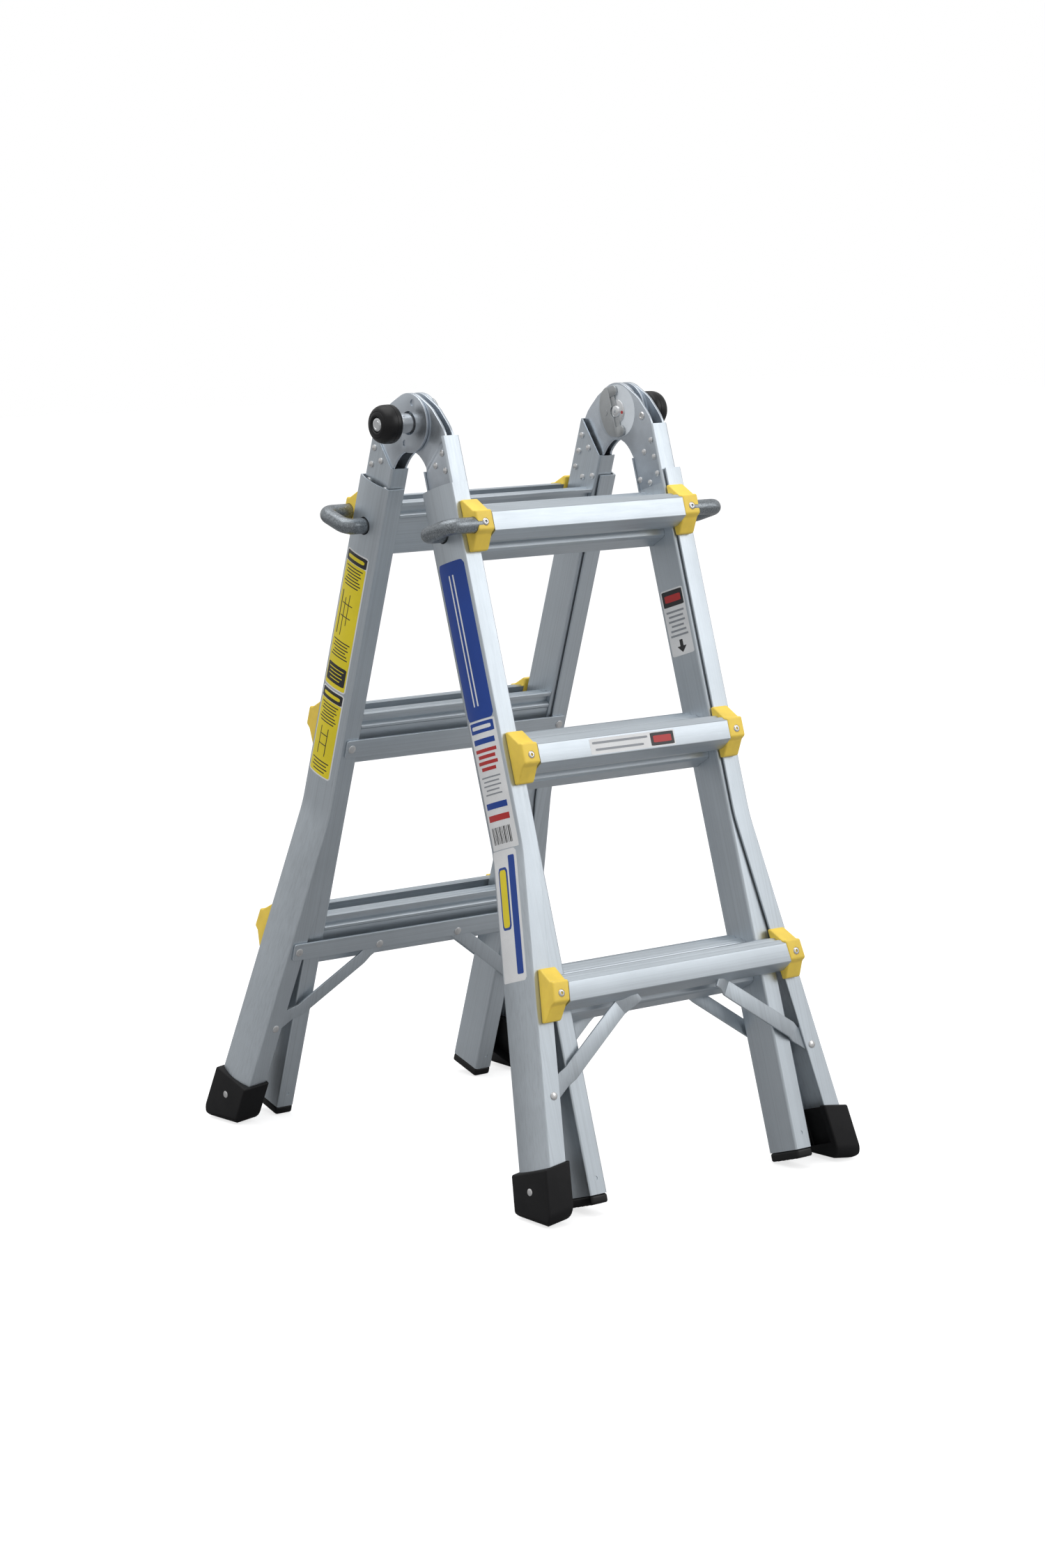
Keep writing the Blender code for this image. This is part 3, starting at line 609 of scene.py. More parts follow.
YOKE_PLATE = [
    (-4.3, -35.4), (-8, -35.8), (-12, -35), (-17, -32.5), (-20.7, -29.6), (-23.6, -25.4),
    (-26.2, -19.8), (-29, -10), (-29.7, 0), (-28.6, 8.5), (-26.4, 16.5), (-24, 22),
    (-20.8, 27.5), (-14.5, 31.5), (-8.5, 33.8), (-4.3, 34.6),
]


def ribbon(path, side, width, thick):
    """Flat bar through (x, s, n) points, faces square to n."""
    first = Vector(path[0][:2])
    last = Vector(path[-1][:2])
    along = (last - first).normalized()
    across = Vector((-along.y, along.x)) * width / 2
    bm = bmesh.new()
    rows = []
    for x, s, n in path:
        ends = ((x + across.x, s + across.y), (x - across.x, s - across.y))
        rows.append([bm.verts.new(at(side * u, n, v)) for u, v in ends])
    for a, b in zip(rows, rows[1:]):
        bm.faces.new((a[0], a[1], b[1], b[0]))
    made = to_object(bm)
    step = made.modifiers.new("thickness", "SOLIDIFY")
    step.thickness = thick * MM
    step.offset = 0
    return made


def outer_brace(side):
    x, s = BRACE_RIVET
    path = [
        (70.0, 783.5, 88.0), (78.0, 788.0, 86.0), (92.0, 797.5, 74.6), (104.0, 806.0, 73.9),
        (190.5, 867.4, 73.9), (200.3, 874.3, 67.8), (x + 4, s + 1.5, 67.7),
    ]
    return ribbon(path, side, BRACE_WIDTH, BRACE_THICK)


def inner_brace(side):
    x, s = BRACE_RIVET
    path = [
        (62.0, 776.0, 9.0), (84.0, 791.0, 9.0), (96.0, 799.5, 5.9), (188.0, 865.7, 5.9),
        (200.0, 874.1, 11.9), (x + 4, s + 1.5, 12.0),
    ]
    return ribbon(path, side, BRACE_WIDTH - 2, BRACE_THICK)

def finished(tool, name, half, body, look, replaced=(), sharp=38):
    """Applies the modifiers, rides the piece on its body, then removes every tool."""
    bpy.context.view_layer.update()
    graph = bpy.context.evaluated_depsgraph_get()
    mesh = bpy.data.meshes.new_from_object(tool.evaluated_get(graph))
    mesh.transform(HALF[half])
    mesh.materials.clear()
    mesh.materials.append(look)
    mesh.polygons.foreach_set("material_index", [0] * len(mesh.polygons))
    mesh.name = name
    mesh.shade_smooth()
    mesh.set_sharp_from_angle(angle=math.radians(sharp))
    if name in replaced:
        tool.name = name  # so the piece gets the same numbered name in each run
    made = add_object(name, mesh)
    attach(made, body)
    if replaced:
        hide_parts(*replaced)
    for item in list(bpy.data.objects):
        if item.get("ladder_tool"):
            bpy.data.objects.remove(item, do_unlink=True)
    return made


def dome_rivet(centre, radius, height, axis, steps=20):
    """Domed rivet head standing on centre = (x, n, s), pointing along +/- axis ('x' or 'n')."""
    word, way = axis
    profile = [(0.0, -0.4), (radius, -0.4), (radius, height * 0.25)]
    profile += [
        (radius * math.cos(a), height * (0.25 + 0.75 * math.sin(a)))
        for a in (math.radians(20 * k) for k in range(1, 5))
    ]
    profile.append((0.0, height))
    x, n, s = centre
    bm = bmesh.new()
    rings = []
    for r, up in profile:
        ring = []
        for k in range(steps):
            a = 2 * math.pi * k / steps
            p, q = max(r, 0.02) * math.cos(a), max(r, 0.02) * math.sin(a)
            spot = at(x + way * up, n + p, s + q) if word == "x" else at(x + p, n + way * up, s + q)
            ring.append(bm.verts.new(spot))
        rings.append(ring)
    skin(bm, rings)
    return to_object(bm)


def joined(tools):
    """One mesh from several separate closed bodies."""
    bpy.context.view_layer.update()
    graph = bpy.context.evaluated_depsgraph_get()
    bm = bmesh.new()
    for tool in tools:
        bm.from_mesh(tool.evaluated_get(graph).to_mesh())
    return to_object(bm)


# --- inner ladder ---


def serrated(a, b, pitch=1.25, depth=0.32):
    """Fine anti-slip teeth along the straight run from a to b of a tread outline."""
    start, end = Vector(a[:2]), Vector(b[:2])
    along = end - start
    out = Vector((along.y, -along.x)).normalized()
    count = max(2, int(along.length / pitch))
    teeth = []
    for k in range(count):
        for share, lift in ((0.25, 0.0), (0.5, depth), (0.75, 0.0)):
            spot = start + along * ((k + share) / count) + out * lift
            teeth.append((spot.x, spot.y, 0))
    return teeth


def tread(outline, runs):
    """Outline with the runs (pairs of corner indices) serrated."""
    made = []
    for i, corner in enumerate(outline):
        made.append(corner)
        if i in runs:
            made += serrated(outline[i], outline[(i + 1) % len(outline)])
    return made


INNER_TREAD = tread(INNER_RUNG, (2, 4, 6, 8, 10))
OUTER_TREAD = tread(OUTER_RUNG, (2, 4, 6, 8))


def tube_bore(inset, radius):
    """The inner rail's outline moved inward."""
    low, high = TUBE_NEAR + inset, TUBE_FAR - inset
    return box_outline(TUBE_IN + inset, TUBE_OUT - inset, low, high, radius, 3)


def inner_rail(half, word, side, lock_side):
    name = f"{half}_inner_rail_{word}"
    outer = mirrored(box_outline(TUBE_IN, TUBE_OUT, TUBE_NEAR, TUBE_FAR, 3.0, 6), side)
    rail = prism(outer, "s", (28, TUBE_BOTTOM))
    bore = tube_bore(TUBE_WALL, 1.0)
    tools = [prism(mirrored(bore, side), "s", (20, 1040))]
    slant = [
        (TUBE_FAR + 5, 0), (TUBE_FAR + 5, TUBE_TOP_FAR), (TUBE_FAR - 4, TUBE_TOP_FAR),
        (TUBE_NEAR + 4, TUBE_TOP_NEAR), (TUBE_NEAR - 5, TUBE_TOP_NEAR), (TUBE_NEAR - 5, 0),
    ]
    tools.append(prism(slant, "x", (side * (TUBE_IN - 5), side * (TUBE_OUT + 5))))
    window = [
        (TUBE_NEAR + 3.2, 0), (TUBE_FAR - 3.2, 0), (TUBE_FAR - 3.2, NOTCH_END),
        (TUBE_NEAR + 3.2, NOTCH_END),
    ]
    inner_web = (side * (TUBE_IN - 5), side * (TUBE_IN + 5))
    outer_web = (side * (TUBE_OUT - 5), side * (TUBE_OUT + 5))
    open_web = inner_web if lock_side else outer_web
    tools.append(prism(window, "x", open_web))
    for k in range(3):
        reach = (side * (TUBE_OUT - 6), side * (TUBE_OUT + 5))
        tools.append(rod(*reach, 11.3, MID_N, LOCK_PIN_S + k * RUNG_PITCH, 40))
    middle = side * (TUBE_IN + TUBE_OUT) / 2
    for low, high in ((TUBE_NEAR - 1, TUBE_NEAR + 0.7), (TUBE_FAR - 0.7, TUBE_FAR + 1)):
        tools.append(pin(middle, 1004.0, 2.6, "n", low, high, 20))
    combine(rail, tools, "DIFFERENCE")
    finished(rail, name, half, f"{half}_inner", ALUMINIUM[half], (name,))


def inner_rung(half, word, index):
    name = f"{half}_inner_rung_{word}"
    level = FIRST_RUNG + index * RUNG_PITCH
    end = TUBE_IN - FINE_GAP
    rung = prism(fillet(raised(INNER_TREAD, level), 4), "x", (-end, end))
    bore = prism(raised(INNER_RUNG_BORE, level), "x", (-170, 170))
    combine(rung, [bore], "DIFFERENCE")
    finished(rung, name, half, f"{half}_inner", TREAD[half], (name,), 25)


def end_cap(half, word, side):
    name = f"{half}_end_cap_{word}"
    outline = mirrored(box_outline(TUBE_IN, TUBE_OUT, TUBE_NEAR, TUBE_FAR, 4.0, 6), side)
    foot = prism(outline, "s", (TUBE_BOTTOM + FINE_GAP, 1036.5))
    bevel(foot, 3.0, 5, 50)
    plug = tube_bore(TUBE_WALL + FINE_GAP, 1.2)
    tools = [prism(mirrored(plug, side), "s", (1005, 1028))]
    for k in range(5):
        n = 22.0 + 9.0 * k
        rib = box_outline(side * 169.0, side * 187.6, n - 1.2, n + 1.2, 0.8, 3)
        tools.append(prism(rib, "s", (1034, 1036.9)))
    combine(foot, tools, "UNION")
    finished(foot, name, half, f"{half}_inner", BLACK, (name,))


# --- hinges ---


def leaf(half, word, side, lock_side):
    name = f"hinge_{half}_leaf_{word}"
    body = f"{half}_inner"
    plates = LOCK_LEAF if lock_side else PLAIN_LEAF
    for k, (low, high) in enumerate(plates):
        plate = leaf_plate(low, high, side, k == 1 and not lock_side)
        cuts = []
        if lock_side and k == 1:
            cuts.append(rod(side * 180, side * 196, PLAIN_BORE, 0, 0, 48))
            for s in (-LOCK_HOLE_S, LOCK_HOLE_S):
                cuts.append(rod(side * (high - 1.5), side * (high + 1), HINGE_PIN_RADIUS, 0, s, 28))
        elif lock_side:
            cuts.append(rod(side * 160, side * 180, SLEEVE_RADIUS + FINE_GAP, 0, 0, 48))
            for s in (-LOCK_HOLE_S, LOCK_HOLE_S):
                cuts.append(rod(side * 160, side * 176, 4.8, 0, s, 28))
        else:
            cuts.append(rod(side * 160, side * 196, PLAIN_BORE, 0, 0, 48))
        combine(plate, cuts, "DIFFERENCE")
        covers = (name,) if k == 0 else ()
        finished(plate, f"{name}_plate_{k}", half, body, PLATE, covers, 30)
    if lock_side:
        low, high = plates[0][0] + 0.1, TUBE_OUT + FINE_GAP
    else:
        low, high = TUBE_IN - FINE_GAP, plates[1][1] + JOGGLE - 0.1
    heads = []
    for s, n in LEAF_RIVETS:
        heads.append(dome_rivet((side * low, n, s), 4.3, 2.0, ("x", -side), 24))
        heads.append(dome_rivet((side * high, n, s), 4.3, 2.0, ("x", side), 24))
        heads.append(rod(side * low, side * high, 2.5, n, s, 16))
    finished(joined(heads), f"{name}_rivets", half, body, RIVET, (), 30)
    if not lock_side:
        return
    s, n = STOP_STUD
    face = plates[0][0]
    stud = [
        (0, face + 2), (5.6, face + 2), (5.6, face - 0.5), (5.2, face - 0.9), (4.4, face - 1.5),
        (2.9, face - 1.5), (2.6, face - 1.2), (2.4, face - 0.4), (0, face - 0.4),
    ]
    knob = lathe([(r, side * x) for r, x in stud], 36, n, s)
    finished(knob, f"{name}_stop_stud", half, body, RIVET, (), 30)
    disc = []
    for k in range(40):
        a = 2 * math.pi * k / 40
        disc.append((38.0 * math.cos(a) * 0.955 + 1.2, 38.0 * math.sin(a) * 0.955))
    disc = [(u, v) for u, v in disc if u > -19]
    label = prism(disc, "x", (side * (face - 0.12), side * (face + 0.05)))
    combine(label, [rod(side * 160, side * 180, SLEEVE_RADIUS + 0.6, 0, 0, 40)], "DIFFERENCE")
    spots = [rod(side * 160, side * 180, 5.2, 0, t, 24) for t in (-LOCK_HOLE_S, LOCK_HOLE_S)]
    combine(label, spots, "DIFFERENCE")
    finished(label, f"{name}_round_label", half, body, INK["silver"], (), 30)


def lock_knob(half, word, side):
    """Push knob: domed rim with fine turned rings, and a recess round the shaft's end."""
    name = f"hinge_knob_{word}"
    top = KNOB_OUT
    profile = [
        (6.6, KNOB_IN), (20.2, KNOB_IN), (22.4, KNOB_IN + 0.4), (24.2, KNOB_IN + 1.5),
        (25.2, KNOB_IN + 3.2), (25.5, KNOB_IN + 5.5), (25.5, KNOB_IN + 9.0), (25.0, KNOB_IN + 9.4),
        (25.0, KNOB_IN + 10.2), (25.5, KNOB_IN + 10.6), (25.4, KNOB_IN + 14.0),
        (25.0, KNOB_IN + 17.0), (24.2, KNOB_IN + 19.6), (22.8, KNOB_IN + 22.2),
        (20.9, KNOB_IN + 24.3), (18.6, KNOB_IN + 25.8), (17.4, top - 1.3), (17.0, top - 1.7),
        (16.4, top - 1.1), (15.0, top - 0.5), (13.2, top - 0.1), (12.0, top), (11.0, top - 0.3),
        (10.3, top - 1.2), (9.8, top - 2.6), (9.5, top - 4.7), (6.6, top - 4.7),
    ]
    knob = lathe([(r, side * x) for r, x in profile], 96)
    body = f"hinge_lock_{word}"
    finished(knob, name, half, body, BLACK, (name,), 50)


def lock_yoke(half, word, side):
    """Sleeve and shaft, then the D plate with its bar, ears and lock pins."""
    name = f"hinge_lock_yoke_{word}"
    body = f"hinge_lock_{word}"
    shaft = [
        (2.1, 163.2), (6.9, 163.2), (7.6, 163.5), (8.0, 164.1), (8.0, 165.4), (15.6, 165.4),
        (16.2, 165.6), (16.5, 165.9), (16.5, 166.3), (SLEEVE_RADIUS, 166.3),
        (SLEEVE_RADIUS, KNOB_IN - 1.0), (SLEEVE_RADIUS - 0.7, KNOB_IN - FINE_GAP),
        (6.3, KNOB_IN - FINE_GAP), (6.3, KNOB_OUT - 4.3), (9.0, KNOB_OUT - 4.3),
        (9.0, KNOB_OUT - 2.0),
        (8.7, KNOB_OUT - 1.5), (8.0, KNOB_OUT - 1.2), (6.0, KNOB_OUT - 1.2), (5.7, KNOB_OUT - 1.5),
        (5.2, KNOB_OUT - 1.5), (4.9, KNOB_OUT - 1.2), (0, KNOB_OUT - 1.2), (0, 166.0), (2.1, 166.0),
    ]
    sleeve = lathe([(r, side * x) for r, x in shaft], 72)
    finished(sleeve, f"{name}_sleeve", half, body, BRIGHT, (name,), 40)
    plate = prism(YOKE_PLATE, "x", (side * 161.8, side * 164.4))
    bevel(plate, 0.6, 3, 50)
    bar = prism(box_outline(-9.0, 3.4, -33, 33, 1.5, 4), "x", (side * 163.9, side * 166.3))
    tools = [bevel(bar, 0.3, 2, 60), rod(side * 161.3, side * 162.5, 4.0, -18.0, -3.0, 32)]
    for s in (-LOCK_HOLE_S, LOCK_HOLE_S):
        ear = fillet([(-5, s - 7, 0), (11, s - 7, 6.5), (11, s + 7, 6.5), (-5, s + 7, 0)], 8)
        tools.append(bevel(prism(ear, "x", (side * 162.6, side * 166.3)), 0.5, 3, 50))
        tools.append(rod(side * 164, side * 170.0, HINGE_PIN_RADIUS, 0, s, 28))
    combine(plate, tools, "UNION")
    combine(plate, [rod(side * 160, side * 170, 8.3, 0, 0, 40)], "DIFFERENCE")
    finished(plate, f"{name}_plate", half, body, ZINC, (), 30)
    mark = rod(side * 165.1, side * 165.6, 2.2, 11.4, 4.2, 24)
    finished(mark, f"{name}_mark", half, body, INK["red"], (), 40)


# --- outer ladder ---

WEB_HALF = (CHANNEL_FAR - CHANNEL_NEAR) / 2 - 2.5


def crown(n):
    """|x| of the outer web at n, before the flare."""
    t = (n - MID_N) / WEB_HALF
    return CHANNEL_EDGE + CROWN * (1 - t * t)


def channel_outline(steps=24):
    """Crowned web with rolled corners and a lip on each side."""
    outer = [
        (crown(n), n)
        for n in (MID_N + WEB_HALF * (2 * k / steps - 1) for k in range(steps + 1))
    ]
    inner = [
        (crown(n) - CHANNEL_WALL, MID_N + (n - MID_N) * (WEB_HALF - 0.9) / WEB_HALF)
        for _, n in outer
    ]
    edge = CHANNEL_EDGE
    near = arc(edge - 1.9, CHANNEL_NEAR + 2.0, 2.0, -90, -20, 5)
    far = arc(edge - 1.9, CHANNEL_FAR - 2.0, 2.0, 20, 90, 5)
    lip = CHANNEL_LIP
    wall = CHANNEL_WALL
    outside = [(lip, CHANNEL_NEAR + 0.7), (lip + 0.7, CHANNEL_NEAR)] + near + outer[1:-1] + far
    outside += [(lip + 0.7, CHANNEL_FAR), (lip, CHANNEL_FAR - 0.7)]
    inside = [(lip, CHANNEL_FAR - wall), (edge - wall - 0.8, CHANNEL_FAR - wall)] + inner[::-1]
    inside += [(edge - wall - 0.8, CHANNEL_NEAR + wall), (lip, CHANNEL_NEAR + wall)]
    return outside + inside


def outer_rail(half, word, side):
    name = f"{half}_outer_rail_{word}"
    bend = [FLARE_START + FLARE_BEND * k / 8 for k in range(9)]
    stations = [CHANNEL_TOP] + bend + [CHANNEL_BOTTOM]
    rail = prism(mirrored(channel_outline(), side), "s", stations, side)
    tools = [rod(side * 190, side * 210, 12.0, MID_N, LOCK_PIN_S, 48)]
    combine(rail, tools, "DIFFERENCE")
    finished(rail, name, half, f"{half}_outer", ALUMINIUM[half], (name,), 30)
    x, s = BRACE_RIVET
    heads = [
        dome_rivet((side * x, CHANNEL_FAR, s), 5.3, 2.2, ("n", 1), 24),
        dome_rivet((side * x, CHANNEL_NEAR, s), 5.3, 2.2, ("n", -1), 24),
    ]
    body = f"{half}_outer"
    finished(joined(heads), f"{name}_rivets", half, body, RIVET, (), 30)


def outer_rung(half, word, index):
    name = f"{half}_outer_rung_{word}"
    level = FIRST_RUNG + index * RUNG_PITCH

    def spread(co):
        way = 1 if co.x > 0 else -1
        return co + Vector((way * flare(-co.z / MM) * MM, 0, 0))

    outline = fillet(raised(OUTER_TREAD, level), 4)
    rung = prism(outline, "x", (-RUNG_END, RUNG_END), shear=spread)
    bore = prism(raised(OUTER_RUNG_BORE, level), "x", (-200, 200))
    combine(rung, [bore], "DIFFERENCE")
    body = f"{half}_outer"
    finished(rung, name, half, body, TREAD[half], (name,), 25)
    if index < 2:
        return
    for side, label in ((-1, "left"), (1, "right")):
        finish_brace(outer_brace(side), f"{half}_outer_brace_{label}", half)


def finish_brace(bar, name, half):
    bar = bevel(bar, 0.8, 3, 60)
    finished(bar, name, half, f"{half}_outer", ALUMINIUM[half], (), 30)


def strap(half, word, index):
    name = f"{half}_strap_{word}"
    body = f"{half}_outer"
    level = STRAP_LEVELS[index]
    end = 190.5 + flare(level)
    low = level - STRAP_HEIGHT / 2
    high = level + STRAP_HEIGHT / 2
    outline = box_outline(-end, end, low, high, 3, 8)
    bar = bevel(prism(outline, "n", (STRAP_NEAR, STRAP_FAR)), 0.5, 3, 50)
    finished(bar, name, half, body, TREAD[half], (name,), 30)
    heads = []
    for side in (-1, 1):
        heads.append(dome_rivet((side * (end - 9.0), STRAP_NEAR, level), 5.8, 2.2, ("n", -1), 24))
        if index == 1:
            heads.append(dome_rivet((side * 69.5, STRAP_NEAR, 780.0), 5.8, 2.2, ("n", -1), 24))
    finished(joined(heads), f"{name}_rivets", half, body, RIVET, (), 30)
    if index == 1:
        for side, label in ((-1, "left"), (1, "right")):
            finish_brace(inner_brace(side), f"{half}_inner_brace_{label}", half)


def bracket(half, word, side, index):
    name = f"{half}_bracket_{RUNG_NAMES[index]}_{word}"
    body = f"{half}_outer"
    level = FIRST_RUNG + index * RUNG_PITCH
    face = OUTER_RUNG_FACE + 0.6
    corners = [
        (BRACKET_BACK, -35.0, 0), (77.5, -35.0, 3.5), (95.5, -16.8, 3.0), (face, -15.5, 3.0),
        (face, 10.5, 4.0), (94.0, 14.5, 5.0), (80.0, 33.5, 5.0), (BRACKET_BACK, 33.5, 0),
    ]
    outline = fillet(raised(corners, level), 6)
    block = prism(outline, "x", (side * BRACKET_IN, side * BRACKET_OUT), side)
    bevel(block, 2.0, 5, 50)
    tools = []
    if index == 0:
        tools.append(rod(side * 174.0, side * 195, 10.9, LOCK_PIN_N, LOCK_PIN_S, 48))
        tools.append(rod(side * 160, side * 176, 6.4, LOCK_PIN_N, LOCK_PIN_S, 32))
    x = side * (176.3 + flare(level))
    tools.append(pin(x, level, 5.4, "n", face - 0.5, face + 2, 36))
    combine(block, tools, "DIFFERENCE")
    finished(block, name, half, body, YELLOW, (name,), 40)
    ring = [
        (1.9, -2.0), (4.9, -2.0), (4.9, 0.35), (4.6, 0.8), (3.9, 1.25), (3.0, 1.55), (2.2, 1.5),
        (1.9, 1.1),
    ]
    bm = bmesh.new()
    steps = 32
    rings = []
    for k in range(steps):
        a = 2 * math.pi * k / steps
        rings.append([
            bm.verts.new(at(x + r * math.cos(a), face - 0.4 + up, level + r * math.sin(a)))
            for r, up in ring
        ])
    for k in range(steps):
        one, two = rings[k], rings[(k + 1) % steps]
        for i in range(len(ring)):
            j = (i + 1) % len(ring)
            bm.faces.new((one[i], two[i], two[j], one[j]))
    collar = to_object(bm)
    finished(collar, f"{name}_rivet", half, body, RIVET, (), 40)
    # Black disc sunk inside the rivet collar's bore: painted shade standing in for the dark inside
    # of the hollow rivet.
    hole_shade_disc = pin(x, level, 1.95, "n", face - 2.4, face - 0.9, 20)
    finished(hole_shade_disc, f"{name}_rivet_hole_painted_shade", half, body, BLACK, (), 40)


def boot(half, word, side):
    """Rubber foot with a level sole, a slot for the channel and a rivet on its outer face."""
    name = f"{half}_boot_{word}"

    def sole(n):
        return (SOLE_REACH + n * math.sin(LEAN)) / math.cos(LEAN)

    def tilt(co):
        inward = BOOT_OUT - abs(co.x) / MM
        sway = side * flare(-co.z / MM) * MM
        return co + Vector((sway, 0, FLARE_SLOPE * inward * MM))

    def slope(co):
        return tilt(co + Vector((0, 0, co.y * math.tan(LEAN))))

    corners = [
        (BOOT_NEAR, BOOT_TOP, 2.5), (BOOT_FAR, BOOT_TOP, 2.5), (BOOT_FAR, sole(BOOT_FAR), 17.0),
        (BOOT_NEAR, sole(BOOT_NEAR), 16.0),
    ]
    foot = prism(fillet(corners, 8), "x", (side * BOOT_IN, side * BOOT_OUT), shear=tilt)
    bevel(foot, 4.0, 5, 50)
    edge = SOLE_REACH / math.cos(LEAN)
    across = [
        (BOOT_IN - 1, BOOT_TOP - 30, 0), (BOOT_OUT + 1, BOOT_TOP - 30, 0),
        (BOOT_OUT + 1, edge, 17.0), (BOOT_IN - 1, edge, 9.0),
    ]
    rounding = prism(mirrored(fillet(across, 8), side), "n", (-5, 90), shear=slope)
    combine(foot, [rounding], "INTERSECT")
    grown = mirrored(offset(channel_outline(8), FINE_GAP + 0.1), side)
    cuts = [prism(grown, "s", (BOOT_TOP - 20, CHANNEL_BOTTOM + FINE_GAP), side)]
    hollow = mirrored(box_outline(150, 183, 13.5, 66.2, 2.0, 3), side)
    cuts.append(prism(hollow, "s", (BOOT_TOP - 20, CHANNEL_BOTTOM - 4), side))
    combine(foot, cuts, "DIFFERENCE")
    body = f"{half}_outer"
    finished(foot, name, half, body, RUBBER, (name,), 40)
    x = BOOT_OUT + flare(1005)
    head = dome_rivet((side * (x - 0.2), MID_N, 1005.0), 5.0, 1.3, ("x", side), 28)
    finished(head, f"{name}_rivet", half, body, RIVET, (), 30)


def lock_pin(half, word, side):
    """Bent rod, one leg in the bracket and the other through the rail web."""
    name = f"{half}_lock_pin_{word}"
    bend, turn, steps = 230.0, 13.0, 36
    angles = [math.radians(90 * k / 10) for k in range(11)]
    route = [(174.8, LOCK_PIN_N, 1.0)]
    for a in angles:
        x = bend - turn + turn * math.sin(a)
        route.append((x, LOCK_PIN_N - turn + turn * math.cos(a), 1.0))
    for a in angles:
        route.append((bend - turn + turn * math.cos(a), MID_N + turn - turn * math.sin(a), 1.0))
    route += [(200.4, MID_N, 1.0), (198.8, MID_N, 0.96), (197.9, MID_N, 0.89), (197.6, MID_N, 0.8)]
    bm = bmesh.new()
    rings = []
    for i, (x, n, share) in enumerate(route):
        before = Vector(route[max(i - 1, 0)][:2])
        after = Vector(route[min(i + 1, len(route) - 1)][:2])
        heading = (after - before).normalized()
        aside = Vector((-heading.y, heading.x))
        radius = LOCK_PIN_RADIUS * share
        ring = []
        for k in range(steps):
            a = 2 * math.pi * k / steps
            flat = Vector((x, n)) + aside * radius * math.cos(a)
            ring.append(bm.verts.new(at(side * flat.x, flat.y, LOCK_PIN_S + radius * math.sin(a))))
        rings.append(ring)
    skin(bm, rings)
    rod_piece = to_object(bm)
    guide = rod(side * 150, side * 176, 6.0, LOCK_PIN_N, LOCK_PIN_S, 28)
    combine(rod_piece, [guide], "UNION")
    finished(rod_piece, name, half, name, CAST, (name,), 40)


# --- labels ---


def web_spot(side):
    """(n, s, lift) on the outer rail's crowned web."""
    return lambda n, s, lift: at(side * (crown(n) + flare(s) + lift), n, s)


def tube_spot(side):
    """(n, s, lift) on the inner rail's face towards the middle."""
    return lambda n, s, lift: at(side * (TUBE_IN - lift), n, s)


def rung_spot(x, s, lift):
    """(x, s, lift) on the outer rung's front face."""
    return at(x, OUTER_RUNG_FACE + lift, s)


def patch(spot, u0, u1, v0, v1, corner, level):
    """Closed thin sheet over the rectangle, rounded corners, resting on layer number level."""
    bm = bmesh.new()
    columns = max(10, int((u1 - u0) / 3))
    rows = max(2, int((v1 - v0) / 12))
    sheets = []
    for lift in (LABEL_LAYER * level + LABEL_TOP, LABEL_LAYER * level - LABEL_SUNK):
        grid = []
        for i in range(columns + 1):
            u = u0 + (u1 - u0) * i / columns
            near = max(0.0, corner - (u - u0), corner - (u1 - u))
            cut = corner - math.sqrt(max(0.0, corner * corner - near * near)) if corner else 0.0
            low, high = v0 + cut, v1 - cut
            grid.append([
                bm.verts.new(spot(u, low + (high - low) * j / rows, lift)) for j in range(rows + 1)
            ])
        sheets.append(grid)
    top, base = sheets
    for i in range(columns):
        for j in range(rows):
            bm.faces.new((top[i][j], top[i + 1][j], top[i + 1][j + 1], top[i][j + 1]))
            bm.faces.new((base[i][j], base[i][j + 1], base[i + 1][j + 1], base[i + 1][j]))
    for i in range(columns):
        for j in (0, rows):
            bm.faces.new((top[i][j], base[i][j], base[i + 1][j], top[i + 1][j]))
    for j in range(rows):
        for i in (0, columns):
            bm.faces.new((top[i][j], top[i][j + 1], base[i][j + 1], base[i][j]))
    return to_object(bm)


def label(name, half, body, spot, blocks):
    """One piece for each ink; blocks are (ink, layer, u0, u1, v0, v1, corner)."""
    inks = []
    for block in blocks:
        if block[0] not in inks:
            inks.append(block[0])
    for ink in inks:
        sheets = [patch(spot, *shape, level) for colour, level, *shape in blocks if colour == ink]
        finished(joined(sheets), f"{name}_{ink}", half, body, INK[ink], (), 30)


BAR_LENGTHS = (1.0, 0.82, 0.93, 0.7, 0.88)


def text_bars(ink, level, u0, u1, v0, v1, count, thick):
    """Plain bars in place of printed lines, running along u and stacked along v."""
    rows = []
    for k in range(count):
        v = v0 + (v1 - v0) * (k + 0.5) / count
        reach = (u1 - u0) * BAR_LENGTHS[k % len(BAR_LENGTHS)] / 2
        middle = (u0 + u1) / 2
        rows.append((ink, level, middle - reach, middle + reach, v - thick / 2, v + thick / 2, 0.0))
    return rows


